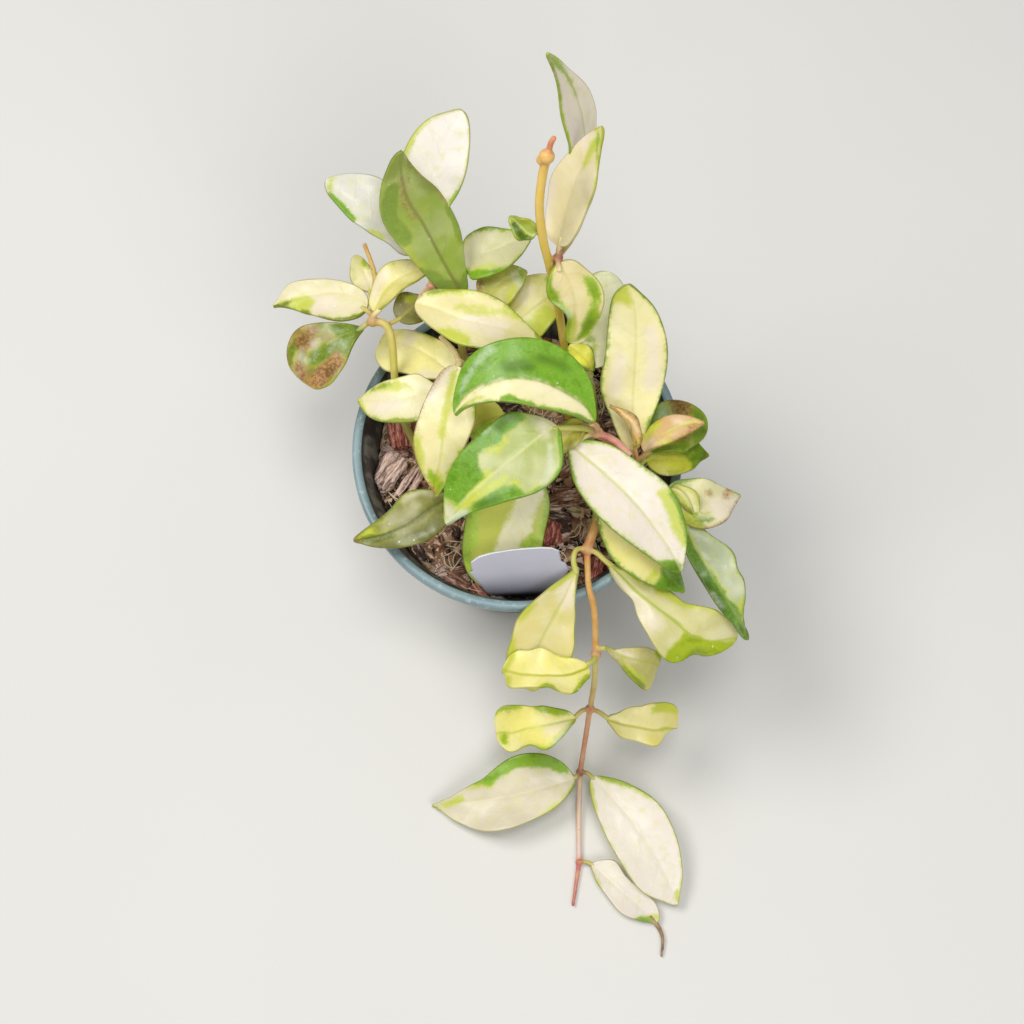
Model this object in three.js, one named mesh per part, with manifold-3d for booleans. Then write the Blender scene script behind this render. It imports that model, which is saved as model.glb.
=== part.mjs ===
// A potted hoya with variegated leaves: a thin nursery pot, a chunky bark mix, a blank plant
// label and eleven leafy stems, one of which trails over the front of the rim down to the table.
// Millimetres, +Z up. The origin is the middle of the pot's flat underside, and the trailing
// stem leaves the pot towards -Y.
import * as THREE from 'three';
import { mergeVertices } from 'three/addons/utils/BufferGeometryUtils.js';
import Module from 'manifold-3d';

const wasm = await Module();
wasm.setup();

// ---------------------------------------------------------------- driving dimensions
const GAP = 0.3; // clearance between pieces that touch

const POT = {
  height: 84,
  rimRadius: 54,
  footRadius: 36,
  wall: 1.2,
  lipWidth: 2.6,
  lipDepth: 5,
  floor: 1.6,
  sides: 42,
};
const DRAIN = { count: 6, radius: 4, ring: 24, sides: 12 };

const MIX = { depthBelowRim: 17, crown: 1.6, sides: 30 };
const CHIPS = {
  count: 24, seed: 7, shortest: 7, longest: 12, reach: 39, tilt: 0.5, jitter: 0.2, proud: 1.6,
};
const HOLE = { depth: 9, sides: 8, straight: 11 };

const LABEL = { thickness: 0.8, slotRoom: 0.35, lean: 0.1, cornerDip: 2.2 };

const BLADE = {
  middle: 1.2, edge: 0.7, endWidth: 0.8, cellLength: 8, leastRows: 4, mostRows: 7, crowding: 0.7,
  columns: 4,
};
const STALK = { radius: 1.1, sides: 5, step: 6 };
const STEM = { sides: 6, step: 8 };

const COLOUR = {
  pot: 0x54666b,
  mix: 0x5a3b2c,
  label: 0xc9cad6,
  vine: 0xdfe0a4,
  foliage: 0xc4cf7e,
  paleFoliage: 0xe6e3c0,
  greenFoliage: 0x86a75a,
};

// ---------------------------------------------------------------- solids and meshes
const v3 = (point) => new THREE.Vector3(...point);

function solid(geometry) {
  geometry.deleteAttribute('normal');
  geometry.deleteAttribute('uv');
  const merged = mergeVertices(geometry, 1e-4);
  return new wasm.Manifold(new wasm.Mesh({
    numProp: 3,
    vertProperties: new Float32Array(merged.attributes.position.array),
    triVerts: new Uint32Array(merged.index.array),
  }));
}

function join(parts) {
  return parts.reduce((whole, part) => whole.add(part));
}

// The largest body of a solid: a scrap that a cut leaves loose is dropped.
function mainBody(shape) {
  return shape.decompose().reduce((best, body) => (body.volume() > best.volume() ? body : best));
}

function namedMesh(name, shape, colour, roughness) {
  const { vertProperties, triVerts } = mainBody(shape).getMesh();
  const geometry = new THREE.BufferGeometry();
  geometry.setAttribute('position', new THREE.BufferAttribute(vertProperties, 3));
  geometry.setIndex(new THREE.BufferAttribute(triVerts, 1));
  geometry.computeVertexNormals();
  const material = new THREE.MeshStandardMaterial({ color: colour, roughness, metalness: 0 });
  const mesh = new THREE.Mesh(geometry, material);
  mesh.name = name;
  return mesh;
}

// A body turned about the vertical axis from [radius, height] pairs.
function turned(profile, sides) {
  const points = profile.map(([radius, height]) => new THREE.Vector2(radius, height));
  return solid(new THREE.LatheGeometry(points, sides).rotateX(Math.PI / 2));
}

function uprightRod([x, y], radius, bottom, top, sides) {
  const rod = new THREE.CylinderGeometry(radius, radius, top - bottom, sides);
  return solid(rod.rotateX(Math.PI / 2).translate(x, y, (top + bottom) / 2));
}

// ---------------------------------------------------------------- the pot
// Inner radius of the tapered wall at a height.
function wallRadius(height) {
  const shoulder = POT.rimRadius - POT.lipWidth;
  return POT.footRadius + ((shoulder - POT.footRadius) * height) / POT.height - POT.wall;
}

function pot() {
  const { height, rimRadius, wall, lipWidth, lipDepth, floor } = POT;
  const under = height - lipDepth;
  const body = turned([
    [0, 0],
    [wallRadius(0) + wall - 0.8, 0],
    [wallRadius(0) + wall, 0.8],
    [wallRadius(under) + wall, under],
    [rimRadius - 0.5, under],
    [rimRadius, under + 0.6],
    [rimRadius, height - 0.8],
    [rimRadius - 0.8, height],
    [rimRadius - lipWidth + 0.4, height],
    [wallRadius(height) + 0.2, height - 0.8],
    [wallRadius(under), under],
    [wallRadius(floor), floor],
    [0, floor],
  ], POT.sides);
  const holes = [];
  for (let i = 0; i < DRAIN.count; i += 1) {
    const angle = (2 * Math.PI * i) / DRAIN.count;
    const centre = [DRAIN.ring * Math.cos(angle), DRAIN.ring * Math.sin(angle)];
    holes.push(uprightRod(centre, DRAIN.radius, -1, floor + 1, DRAIN.sides));
  }
  return body.subtract(join(holes));
}

// ---------------------------------------------------------------- the bark mix
// A small repeatable random draw, 0 to 1.
function seeded(seed) {
  let state = seed;
  return () => {
    state = (state * 16807) % 2147483647;
    return state / 2147483647;
  };
}

const mixTop = POT.height - MIX.depthBelowRim;

// One broken chip of bark: a flat block with pushed corners.
function barkChip(random) {
  const length = CHIPS.shortest + (CHIPS.longest - CHIPS.shortest) * random();
  const size = [length, length * (0.45 + 0.3 * random()), length * (0.28 + 0.15 * random())];
  const block = new THREE.BoxGeometry(...size);
  block.deleteAttribute('normal');
  block.deleteAttribute('uv');
  const chip = mergeVertices(block);
  const corners = chip.attributes.position;
  for (let i = 0; i < corners.count; i += 1) {
    corners.setXYZ(
      i,
      corners.getX(i) + size[0] * CHIPS.jitter * (random() - 0.5),
      corners.getY(i) + size[1] * CHIPS.jitter * (random() - 0.5),
      corners.getZ(i) + size[2] * CHIPS.jitter * (random() - 0.5),
    );
  }
  const turn = new THREE.Euler(
    CHIPS.tilt * (2 * random() - 1),
    CHIPS.tilt * (2 * random() - 1),
    2 * Math.PI * random(),
    'ZYX',
  );
  const angle = 2 * Math.PI * random();
  const reach = CHIPS.reach * Math.sqrt(random());
  const height = mixTop + CHIPS.proud * random();
  const place = new THREE.Vector3(reach * Math.cos(angle), reach * Math.sin(angle), height);
  const matrix = new THREE.Matrix4().makeRotationFromEuler(turn).setPosition(place);
  return solid(chip.applyMatrix4(matrix));
}

function pottingMix(stemFeet, labelSlot) {
  const bottom = POT.floor + GAP;
  const shoulder = mixTop - MIX.crown;
  const ground = turned([
    [0, bottom],
    [wallRadius(bottom) - GAP, bottom],
    [wallRadius(shoulder) - GAP, shoulder],
    [wallRadius(mixTop) * 0.6, mixTop],
    [0, mixTop],
  ], MIX.sides);
  const random = seeded(CHIPS.seed);
  const chips = [];
  for (let i = 0; i < CHIPS.count; i += 1) {
    chips.push(barkChip(random));
  }
  const holes = stemFeet.map(({ foot, radius }) => {
    const [x, y, z] = foot;
    return uprightRod([x, y], radius + GAP, z - GAP, POT.height, HOLE.sides);
  });
  return join([ground, ...chips]).subtract(join([...holes, labelSlot]));
}

// ---------------------------------------------------------------- thin sheets: leaves and label
// A closed sheet of rows by columns cells. place(s, t, face) gives the surface point for s from
// 0 to 1 along, t from -1 to 1 across, and face +1 above or -1 below. Both faces are split into
// the same triangles, so that they never cross.
function closedSheet(rows, columns, place) {
  const positions = [];
  const index = [];
  const vertex = (row, column, face) => (row * (columns + 1) + column) * 2 + face;
  const quad = (a, b, c, d) => index.push(a, b, c, a, c, d);
  for (let row = 0; row <= rows; row += 1) {
    for (let column = 0; column <= columns; column += 1) {
      const s = row / rows;
      const t = (2 * column) / columns - 1;
      positions.push(...place(s, t, 1).toArray(), ...place(s, t, -1).toArray());
    }
  }
  for (let row = 0; row < rows; row += 1) {
    for (let column = 0; column < columns; column += 1) {
      const corners = [[row, column], [row + 1, column], [row + 1, column + 1], [row, column + 1]];
      const above = corners.map(([r, c]) => vertex(r, c, 0));
      const below = corners.map(([r, c]) => vertex(r, c, 1));
      quad(above[0], above[3], above[2], above[1]);
      index.push(below[0], below[2], below[3], below[0], below[1], below[2]);
    }
  }
  for (let row = 0; row < rows; row += 1) {
    quad(vertex(row, 0, 0), vertex(row + 1, 0, 0), vertex(row + 1, 0, 1), vertex(row, 0, 1));
    quad(
      vertex(row, columns, 0),
      vertex(row, columns, 1),
      vertex(row + 1, columns, 1),
      vertex(row + 1, columns, 0),
    );
  }
  for (let column = 0; column < columns; column += 1) {
    quad(
      vertex(0, column, 0),
      vertex(0, column, 1),
      vertex(0, column + 1, 1),
      vertex(0, column + 1, 0),
    );
    quad(
      vertex(rows, column, 0),
      vertex(rows, column + 1, 0),
      vertex(rows, column + 1, 1),
      vertex(rows, column, 1),
    );
  }
  const geometry = new THREE.BufferGeometry();
  geometry.setAttribute('position', new THREE.Float32BufferAttribute(positions, 3));
  geometry.setIndex(index);
  return solid(geometry);
}

// ---------------------------------------------------------------- the plant label
// The tag's middle line from its point in the mix to its top edge: [y, z, width]. It stands
// against the front wall and leans back over the rim.
const LABEL_LINE = [
  [-42, 50, 3],
  [-43.4, 57, 9],
  [-44.8, 64, 10],
  [-46, 71, 10],
  [-47, 77, 13],
  [-46.8, 81.5, 19],
  [-44.2, 86.5, 31],
  [-40.2, 90, 33],
  [-36.2, 93, 31],
];

function labelSheet(extra) {
  const line = new THREE.CatmullRomCurve3(LABEL_LINE.map(([y, z]) => new THREE.Vector3(0, y, z)));
  const rows = LABEL_LINE.length - 1;
  return closedSheet(rows, 2, (s, t, face) => {
    const [, , width] = LABEL_LINE[Math.round(s * rows)];
    const middle = line.getPoint(s);
    const along = line.getTangent(s);
    const normal = new THREE.Vector3(0, -along.z, along.y);
    const x = t * (width / 2 + extra);
    const cornerDip = s === 1 ? -LABEL.cornerDip * t * t : 0;
    const lean = LABEL.lean * x * s ** 3;
    return middle
      .addScaledVector(normal, face * (LABEL.thickness / 2 + extra))
      .addScaledVector(along, cornerDip)
      .add(new THREE.Vector3(x, lean, 0));
  });
}

// ---------------------------------------------------------------- leaves
const LEAF = {
  roll: 0, // turn about the midrib, degrees
  twist: 0, // further turn from base to tip, degrees
  arch: 2, // height of the midrib's bow towards the upper face
  bend: 0, // sideways bow of the midrib, positive to the right of base-to-tip
  cup: 0.12, // rise of the margins, as a share of the half width
  wave: 0.8, // height of the margin's ripple
  waves: 2, // ripples from base to tip
  phase: 0, // start of the ripple, in turns
  base: 0.55, // roundness of the base: a small number is blunt
  point: 0.85, // slenderness of the tip: a small number is blunt
  right: null, // half widths of a margin cut its own way, at 0.05, 0.2, 0.4, 0.6, 0.8 and 0.95
  left: null, // of the leaf's length; without them the margin follows the plain outline
};

// The half width at s on a smooth run through the given ones.
function marginAt(widths, s) {
  const stops = [BLADE.endWidth / 2, ...widths, BLADE.endWidth / 2];
  const last = stops.length - 1;
  const place = (Math.acos(1 - 2 * s) / Math.PI) * last;
  const k = Math.min(Math.floor(place), last - 1);
  const f = place - k;
  const [a, b, c, d] = [-1, 0, 1, 2].map((i) => stops[THREE.MathUtils.clamp(k + i, 0, last)]);
  return b + 0.5 * f * (c - a + f * (2 * a - 5 * b + 4 * c - d + f * (3 * (b - c) + d - a)));
}

function leafBlade(shape) {
  const leaf = { ...LEAF, ...shape };
  const from = v3(leaf.from);
  const to = v3(leaf.to);
  const length = from.distanceTo(to);
  const along = to.clone().sub(from).normalize();
  const level = new THREE.Vector3().crossVectors(along, new THREE.Vector3(0, 0, 1)).normalize();
  const side = level.clone().applyAxisAngle(along, THREE.MathUtils.degToRad(-leaf.roll));
  const up = new THREE.Vector3().crossVectors(side, along);
  const widest = leaf.base / (leaf.base + leaf.point);
  const outline = (s) => (s ** leaf.base * (1 - s) ** leaf.point)
    / (widest ** leaf.base * (1 - widest) ** leaf.point);
  const { cellLength, leastRows, mostRows, crowding } = BLADE;
  const rows = THREE.MathUtils.clamp(Math.round(length / cellLength), leastRows, mostRows);

  return closedSheet(rows, BLADE.columns, (row, t, face) => {
    // The rows crowd towards both ends, where the outline turns fastest.
    const s = row - (crowding * Math.sin(2 * Math.PI * row)) / (2 * Math.PI);
    const middle = from.clone()
      .addScaledVector(along, length * s)
      .addScaledVector(up, leaf.arch * s * (3.2 - 1.6 * s - 1.6 * s * s))
      .addScaledVector(side, leaf.bend * 4 * s * (1 - s));
    const tangent = along.clone().multiplyScalar(length)
      .addScaledVector(up, leaf.arch * (3.2 - 3.2 * s - 4.8 * s * s))
      .addScaledVector(side, leaf.bend * (4 - 8 * s))
      .normalize();
    const across = side.clone().addScaledVector(tangent, -side.dot(tangent)).normalize();
    across.applyAxisAngle(tangent, THREE.MathUtils.degToRad(-leaf.twist * (s - 0.5)));
    const normal = new THREE.Vector3().crossVectors(across, tangent);
    const given = t > 0 ? leaf.right : leaf.left;
    const plain = (leaf.width / 2) * outline(s);
    const half = Math.max(given ? marginAt(given, s) : plain, BLADE.endWidth / 2);
    const ripple = 2 * Math.PI * (leaf.waves * s + leaf.phase) + (t < 0 ? 1.3 : 0);
    const fade = Math.sqrt(Math.sin(Math.PI * s) + 1e-9);
    const scallop = given ? 1 : 1 + ((0.6 * leaf.wave) / leaf.width) * Math.cos(ripple) * fade;
    const lift = leaf.cup * half * t * t + leaf.wave * Math.sin(ripple) * fade * Math.abs(t) ** 1.6;
    const thickness = BLADE.middle - (BLADE.middle - BLADE.edge) * t * t;
    return middle
      .addScaledVector(across, half * t * scallop)
      .addScaledVector(normal, lift + (face * thickness) / 2);
  });
}

// ---------------------------------------------------------------- stems
function polygon(radius, sides) {
  const corners = [];
  for (let i = 0; i < sides; i += 1) {
    const angle = (2 * Math.PI * i) / sides;
    corners.push(new THREE.Vector2(radius * Math.cos(angle), radius * Math.sin(angle)));
  }
  return new THREE.Shape(corners);
}

// A round stem through the given points.
function rod(points, radius, sides, step) {
  const path = new THREE.CatmullRomCurve3(points.map(v3));
  const steps = Math.max(2, Math.round(path.getLength() / step));
  return solid(new THREE.ExtrudeGeometry(polygon(radius, sides), {
    steps,
    extrudePath: path,
    curveSegments: sides,
    bevelEnabled: false,
  }));
}

function swelling(point, radius) {
  return solid(new THREE.SphereGeometry(radius, 7, 5).rotateX(Math.PI / 2).translate(...point));
}

// A leaf with its stalk, which runs from a point on the stem into the blade's base.
function stalkedLeaf(leaf) {
  const inside = v3(leaf.from).lerp(v3(leaf.to), 0.06).toArray();
  const stalk = rod([leaf.stalk, leaf.from, inside], STALK.radius, STALK.sides, STALK.step);
  return leafBlade(leaf).add(stalk);
}

// One leafy stem: shoots are { points, radius }, knots are swollen joints [x, y, z, radius].
function leafyStem(name, colour, { shoots, knots, leaves }) {
  const parts = [
    ...shoots.map(({ points, radius }) => rod(points, radius, STEM.sides, STEM.step)),
    ...knots.map(([x, y, z, radius]) => swelling([x, y, z], radius)),
    ...leaves.map(stalkedLeaf),
  ];
  return namedMesh(name, join(parts), colour, 0.45);
}

// The straight foot of a stem, which stands upright in its hole in the mix.
const stand = (x, y) => [
  [x, y, mixTop - HOLE.depth],
  [x, y, mixTop + HOLE.straight / 2],
  [x, y, mixTop + HOLE.straight],
];

const STEMS = {
  trailing_stem: {
    colour: COLOUR.vine,
    shoots: [
      {
        radius: 1.6,
        points: [
          ...stand(26, -11), [25.8, -18, 88], [25, -27, 92], [22, -36, 91],
          [22.5, -46.5, 86.8], [24.5, -54, 81.5], [25.3, -66, 71],
        ],
      },
      {
        radius: 1.3,
        points: [
          [25.3, -65.5, 71.5], [25.2, -73, 57], [24.4, -78.6, 42], [23.4, -86, 26],
          [22, -95.4, 11],
        ],
      },
      {
        radius: 1,
        points: [
          [22, -95, 11.5], [21.8, -104, 5], [21.7, -114, 2.2], [21.7, -125.6, 1.6],
          [19.4, -140.7, 1.3],
        ],
      },
      { radius: 0.8, points: [[46.5, -144.5, 3], [50.5, -151, 2], [50.3, -159, 1.2]] },
    ],
    knots: [
      [22, -36, 91, 2.4], [25.3, -66, 71, 2.2], [24.4, -78.6, 42, 2.1], [22, -95.4, 11, 1.8],
      [21.7, -125.6, 1.8, 1.5],
    ],
    leaves: [
      { stalk: [22, -36, 91], from: [19, -42, 92], to: [3, -73, 50], width: 20.5, arch: 9,
        bend: 1.5, roll: 14, wave: 1.2, right: [1.8, 6.9, 11.3, 10.5, 8, 4],
        left: [1.2, 4.1, 9, 9, 6, 3] },
      { stalk: [22, -36, 91], from: [29, -41, 91], to: [70, -62, 80], width: 20, arch: 5, bend: 5,
        roll: -10, wave: 1.6, waves: 2.5, right: [1.5, 3, 7.4, 13.5, 8, 3.6],
        left: [1.5, 4.5, 6.5, 6.8, 7.5, 4.5] },
      { stalk: [25, -26, 92], from: [26, -26, 102], to: [52, -51, 95], width: 17, arch: 4, bend: 1,
        right: [3, 6.4, 8.9, 8, 4.8, 1.6], left: [4, 7, 8.5, 7.3, 4.6, 1.7] },
      { stalk: [25.3, -66, 71], from: [22.5, -71, 77], to: [-5, -72, 73], width: 14.5, arch: 4,
        bend: -4, roll: -20, wave: 1, waves: 2.5, right: [2.6, 4.8, 7.5, 9, 8.2, 4.6],
        left: [4.5, 8, 7.5, 5, 8.5, 4] },
      { stalk: [25.3, -66, 71], from: [28, -64.5, 76], to: [45, -70.5, 66], width: 13,
        right: [0.8, 2.9, 5, 8, 7.5, 6.3], left: [0.8, 1.4, 3.2, 5.3, 6.4, 3.5] },
      { stalk: [24.4, -78.6, 42], from: [19.5, -82.5, 45], to: [-7, -86, 35], width: 17, arch: 4,
        wave: 1.4, right: [2.6, 4.3, 6.7, 7.4, 8.7, 7], left: [1.9, 6, 9.4, 7, 8.2, 5] },
      { stalk: [24.4, -78.6, 42], from: [30, -82.5, 44], to: [54, -84, 36], width: 15, arch: 3,
        wave: 1.2, right: [2.3, 6.2, 6.7, 8.6, 4.8, 1], left: [1.9, 3.8, 5.8, 7, 8, 6.3] },
      { stalk: [22, -95.4, 11], from: [20, -98, 13], to: [-30, -106, 3], width: 23, arch: 3,
        bend: -2, right: [7, 12, 13, 7.7, 3.8, 1], left: [4, 8.2, 10.6, 11.5, 7, 1.6] },
      { stalk: [22, -95.4, 11], from: [26, -97.5, 12], to: [55.5, -140.5, 5], width: 23.5, arch: 3,
        bend: -3, wave: 0.5, right: [3.8, 8, 11, 11.8, 10.2, 4],
        left: [3.2, 7.6, 11.1, 9.8, 6.3, 1.8] },
      { stalk: [21.7, -125.6, 1.8], from: [26, -126.5, 3.6], to: [48.5, -146.5, 2.6], width: 12,
        arch: 1.2, wave: 0.3, right: [1.6, 3.8, 5.2, 6.3, 4, 1.4],
        left: [3.2, 6.4, 4.8, 4.9, 5, 2.9] },
    ],
  },
  upright_stem: {
    colour: COLOUR.vine,
    shoots: [
      {
        radius: 1.5,
        points: [
          ...stand(17, 17), [15.5, 25, 97], [13, 33, 119], [9.5, 37.5, 145],
          [7.3, 40.5, 158], [6.1, 45.4, 170], [7, 51, 180], [8.3, 53.8, 186],
        ],
      },
      { radius: 1, points: [[9.5, 37.5, 143], [12, 38.5, 148.5], [12.5, 39.5, 152]] },
      { radius: 1.1, points: [[8.3, 53.8, 185], [9, 55.4, 189], [10, 56.2, 191.5]] },
    ],
    knots: [[8, 53.4, 185.4, 2.7], [12, 38.5, 149.5, 1.8]],
    leaves: [
      { stalk: [12, 38.5, 150], from: [17, 48, 143], to: [8, 78, 199], width: 18, arch: 0, bend: 12,
        roll: -45, right: [2.5, 5, 8, 6.2, 2.8, 1.2], left: [4, 8, 10.5, 10.5, 5.2, 2] },
      { stalk: [12, 38.5, 150], from: [12, 40.5, 153], to: [24, 65, 181], width: 19, arch: 0,
        bend: -2.5, roll: 35, right: [5.4, 8.5, 8.8, 10.5, 5.2, 2.5],
        left: [4.8, 7.8, 9.2, 7, 4.5, 1.5] },
      { stalk: [12, 38.5, 149], from: [12, 37, 149], to: [16, 19.5, 128], width: 18, bend: -3,
        right: [4.2, 7.3, 7.2, 3, 2.8, 2], left: [4.2, 6.5, 9.1, 7.9, 6, 3.6] },
      { stalk: [7.3, 41, 158], from: [5.5, 42.5, 158.5], to: [-2.5, 46.5, 160.5], width: 7,
        roll: 45, cup: 0.5 },
    ],
  },
  tall_left_stem: {
    colour: COLOUR.paleFoliage,
    shoots: [
      {
        radius: 1.4,
        points: [...stand(-18, 30), [-19, 35, 97], [-25, 40, 113], [-27.5, 45, 124]],
      },
    ],
    knots: [[-27, 42, 119, 2.2], [-27.5, 45, 124, 2.2]],
    leaves: [
      { stalk: [-27, 42, 119], from: [-17, 40, 115], to: [-34.5, 65, 166], width: 22.5, arch: 3,
        bend: 1.3, roll: 180, right: [4, 6.5, 9, 11.5, 9.5, 4.5],
        left: [3.5, 6.5, 10, 8.8, 4, 1.2] },
      { stalk: [-27.5, 45, 124], from: [-25.5, 54, 128], to: [-16.5, 82.5, 158], width: 21,
        bend: -4.5, right: [3, 4.5, 8.6, 10, 7.8, 4.2], left: [4, 8, 10, 10.3, 8, 3] },
      { stalk: [-27.5, 45, 124], from: [-33, 51, 123], to: [-60, 71, 134], width: 14, bend: 4.5,
        right: [3, 5.5, 7, 7.2, 5, 2], left: [4, 6, 9, 9.8, 7.5, 4.3] },
      { stalk: [-27, 42, 119], from: [-32, 34, 124], to: [9, 20, 121], width: 18.5, arch: 4,
        bend: -1.5, right: [4, 8, 10.8, 10, 7, 3], left: [4, 6.4, 7.8, 6.8, 3.8, 1.8] },
    ],
  },
  left_stem: {
    colour: COLOUR.foliage,
    shoots: [
      {
        radius: 1.4,
        points: [
          ...stand(-31, -3), [-34, 2, 86], [-37.2, 8, 91], [-39.2, 17, 100],
          [-40, 28, 108], [-42, 32.5, 110.5], [-46, 33.5, 111],
        ],
      },
      {
        radius: 1.1,
        points: [[-46, 33.5, 111], [-46.5, 41, 106], [-46, 51, 107], [-49.3, 60.3, 111]],
      },
    ],
    knots: [[-46, 33.5, 111, 2.2]],
    leaves: [
      { stalk: [-46, 33.5, 111], from: [-45, 35.5, 113], to: [-28, 47.5, 117], width: 13,
        bend: -2.5, roll: 15, right: [1.2, 3, 3.2, 3.8, 2.6, 0.8],
        left: [3.2, 5.3, 7.4, 7.6, 6.5, 2] },
      { stalk: [-46, 33.5, 111], from: [-48, 39, 108], to: [-78.5, 41, 105], width: 13.5, bend: 2.5,
        right: [4, 6, 6.8, 6, 5.9, 1.6], left: [4.5, 7, 7.5, 6.2, 3, 0.8] },
      { stalk: [-46, 40, 106.5], from: [-47.5, 47, 103], to: [-52.5, 60, 102], width: 8.5,
        right: [2, 4, 3.9, 2.2, 1.9, 0.8], left: [2, 4, 5, 3.9, 2.9, 1.6] },
      { stalk: [-46, 33.5, 111], from: [-49, 32, 109], to: [-70.5, 18.5, 100], width: 19, bend: 2.2,
        wave: 0.5, right: [1.2, 3.6, 7.2, 10, 8.9, 5], left: [1.6, 4.9, 9.6, 11.5, 11, 8] },
      { stalk: [-42, 32.5, 110], from: [-38, 35, 108], to: [-29, 44, 104], width: 12 },
    ],
  },
  middle_left_stem: {
    colour: COLOUR.foliage,
    shoots: [
      { radius: 1.4, points: [...stand(-12, 10), [-16, 15, 98], [-18, 18, 113]] },
      { radius: 1, points: [[-18, 18, 112], [-20, 22, 115], [-24.5, 27.5, 113]] },
    ],
    knots: [[-18, 18, 113, 2.2]],
    leaves: [
      { stalk: [-18, 18, 113], from: [-19, 16, 118], to: [-25.5, -22.5, 104], width: 18.5, arch: 4,
        bend: 1.2, right: [3.4, 5.6, 7.6, 8.1, 5.1, 1.3], left: [4.3, 8, 10, 8, 5, 1.8] },
      { stalk: [-18, 18, 108], from: [-21, 19.5, 100], to: [-45, 34, 92], width: 19, bend: 2,
        right: [4, 6.3, 6.6, 5.5, 5, 4], left: [4, 7, 9, 11, 10, 6.5] },
      { stalk: [-18, 18, 111], from: [-24.5, 11.5, 108], to: [-51, 11, 99], width: 16.5, arch: 3,
        bend: -2.5, right: [3, 7, 7.5, 6.3, 4.6, 1.5], left: [4, 8, 8.5, 7.5, 5, 1.5] },
    ],
  },
  low_front_stem: {
    colour: COLOUR.foliage,
    shoots: [
      { radius: 1.3, points: [...stand(-5, -7), [-5, -8, 92]] },
      { radius: 1.1, points: [[-5, -8, 90], [-10, -13, 94], [-17, -17, 95]] },
    ],
    knots: [[-5, -8, 92, 2.1]],
    leaves: [
      { stalk: [-5, -8, 92], from: [4, -11, 95], to: [-9, -45, 73], width: 27, arch: 3, cup: -0.1,
        right: [6, 11, 15, 14, 12, 8], left: [5.6, 9.6, 11, 12, 9, 4.5] },
      { stalk: [-15, -16, 95], from: [-20, -20, 95], to: [-52, -33.5, 92], width: 16, arch: 3,
        bend: -1.5, roll: 12, right: [3, 6.8, 8.9, 5.4, 3.4, 1.6],
        left: [3.8, 6.2, 8.1, 6.9, 4.3, 1.3] },
      { stalk: [-5, -8, 92], from: [-4, 4, 105], to: [-17, -1, 103], width: 14 },
    ],
  },
  centre_stem: {
    colour: COLOUR.greenFoliage,
    shoots: [
      {
        radius: 1.5,
        points: [...stand(32, 2), [33, -4, 97], [30.5, -8, 111], [24.4, -6, 118]],
      },
    ],
    knots: [[24.4, -6, 118, 2.3]],
    leaves: [
      { stalk: [24.4, -6, 118], from: [23, -7, 130], to: [-19, -4.5, 130], width: 23, arch: 7,
        bend: 11, right: [3.5, 9.2, 12.2, 11.8, 11.3, 5.1], left: [2.6, 6.8, 9.6, 8.8, 4.8, 1] },
      { stalk: [24.4, -6, 118], from: [12, -5.5, 123], to: [-22, -34, 113], width: 27, arch: 4,
        bend: -0.5, right: [6, 12.7, 13.6, 12.7, 9.6, 3.6], left: [4.7, 11.6, 12.2, 7.4, 2.9, 1] },
      { stalk: [24.4, -6, 118], from: [16, -9, 116], to: [50, -48, 109], width: 23, arch: 4,
        bend: -3, wave: 0.6, right: [4.3, 10, 12.4, 11.5, 7.6, 3.6],
        left: [3.4, 7.5, 9, 10.6, 7.6, 2.6] },
      { stalk: [24.4, -6, 117], from: [20, -2.5, 118], to: [12, -11, 112], width: 8, cup: 0.5 },
    ],
  },
  right_stem: {
    colour: COLOUR.paleFoliage,
    shoots: [
      { radius: 1.4, points: [...stand(40, -4), [39.5, -9, 92], [38, -11, 101]] },
    ],
    knots: [[38, -11, 101, 2.2]],
    leaves: [
      { stalk: [38, -11, 101], from: [36, -8.5, 107], to: [33, 33, 142], width: 19, arch: -2,
        bend: 2, right: [2.5, 5, 8.6, 9.9, 7.8, 3], left: [4, 7.6, 11.5, 9.4, 7.4, 5] },
      { stalk: [38, -11, 101], from: [36.5, -9.5, 114], to: [28, 1, 123], width: 6, bend: 2,
        cup: 0.6 },
      { stalk: [38, -11, 101], from: [39.5, -9.5, 109], to: [58, -2, 115], width: 10, bend: -2.3,
        right: [1, 2.4, 3.8, 4, 2.8, 1], left: [2.6, 4.8, 4.8, 4.3, 2.7, 1] },
      { stalk: [38, -11, 101], from: [41, -7.5, 104], to: [60, -0.5, 103], width: 18, bend: -4,
        point: 0.5 },
      { stalk: [38, -11, 101], from: [40.5, -9.5, 102], to: [61, -6, 95], width: 13, bend: 1.5,
        right: [2.9, 5.3, 5.2, 4.1, 1.5, 0.8], left: [3, 6, 8, 8, 6.5, 1.6] },
    ],
  },
  lower_right_stem: {
    colour: COLOUR.paleFoliage,
    shoots: [
      { radius: 1.4, points: [...stand(38, -19), [41, -21.5, 87], [44, -23.5, 95]] },
    ],
    knots: [[44, -23.5, 95, 2.1]],
    leaves: [
      { stalk: [44, -23.5, 95], from: [46, -22, 99], to: [71, -18.5, 92], width: 15, arch: 3,
        bend: 2, right: [3, 7, 9.5, 8.4, 4, 1.2], left: [5, 7, 7.5, 6.3, 3.4, 1] },
      { stalk: [44, -23.5, 95], from: [48, -19, 101], to: [56, -28.5, 97], width: 6, bend: -2,
        cup: 0.5 },
      { stalk: [44, -23.5, 95], from: [53, -29.5, 97], to: [72.5, -64.5, 87], width: 11, arch: 3,
        bend: -1.5, wave: 1.3, right: [2.2, 6, 6.4, 6.3, 4, 2],
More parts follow.
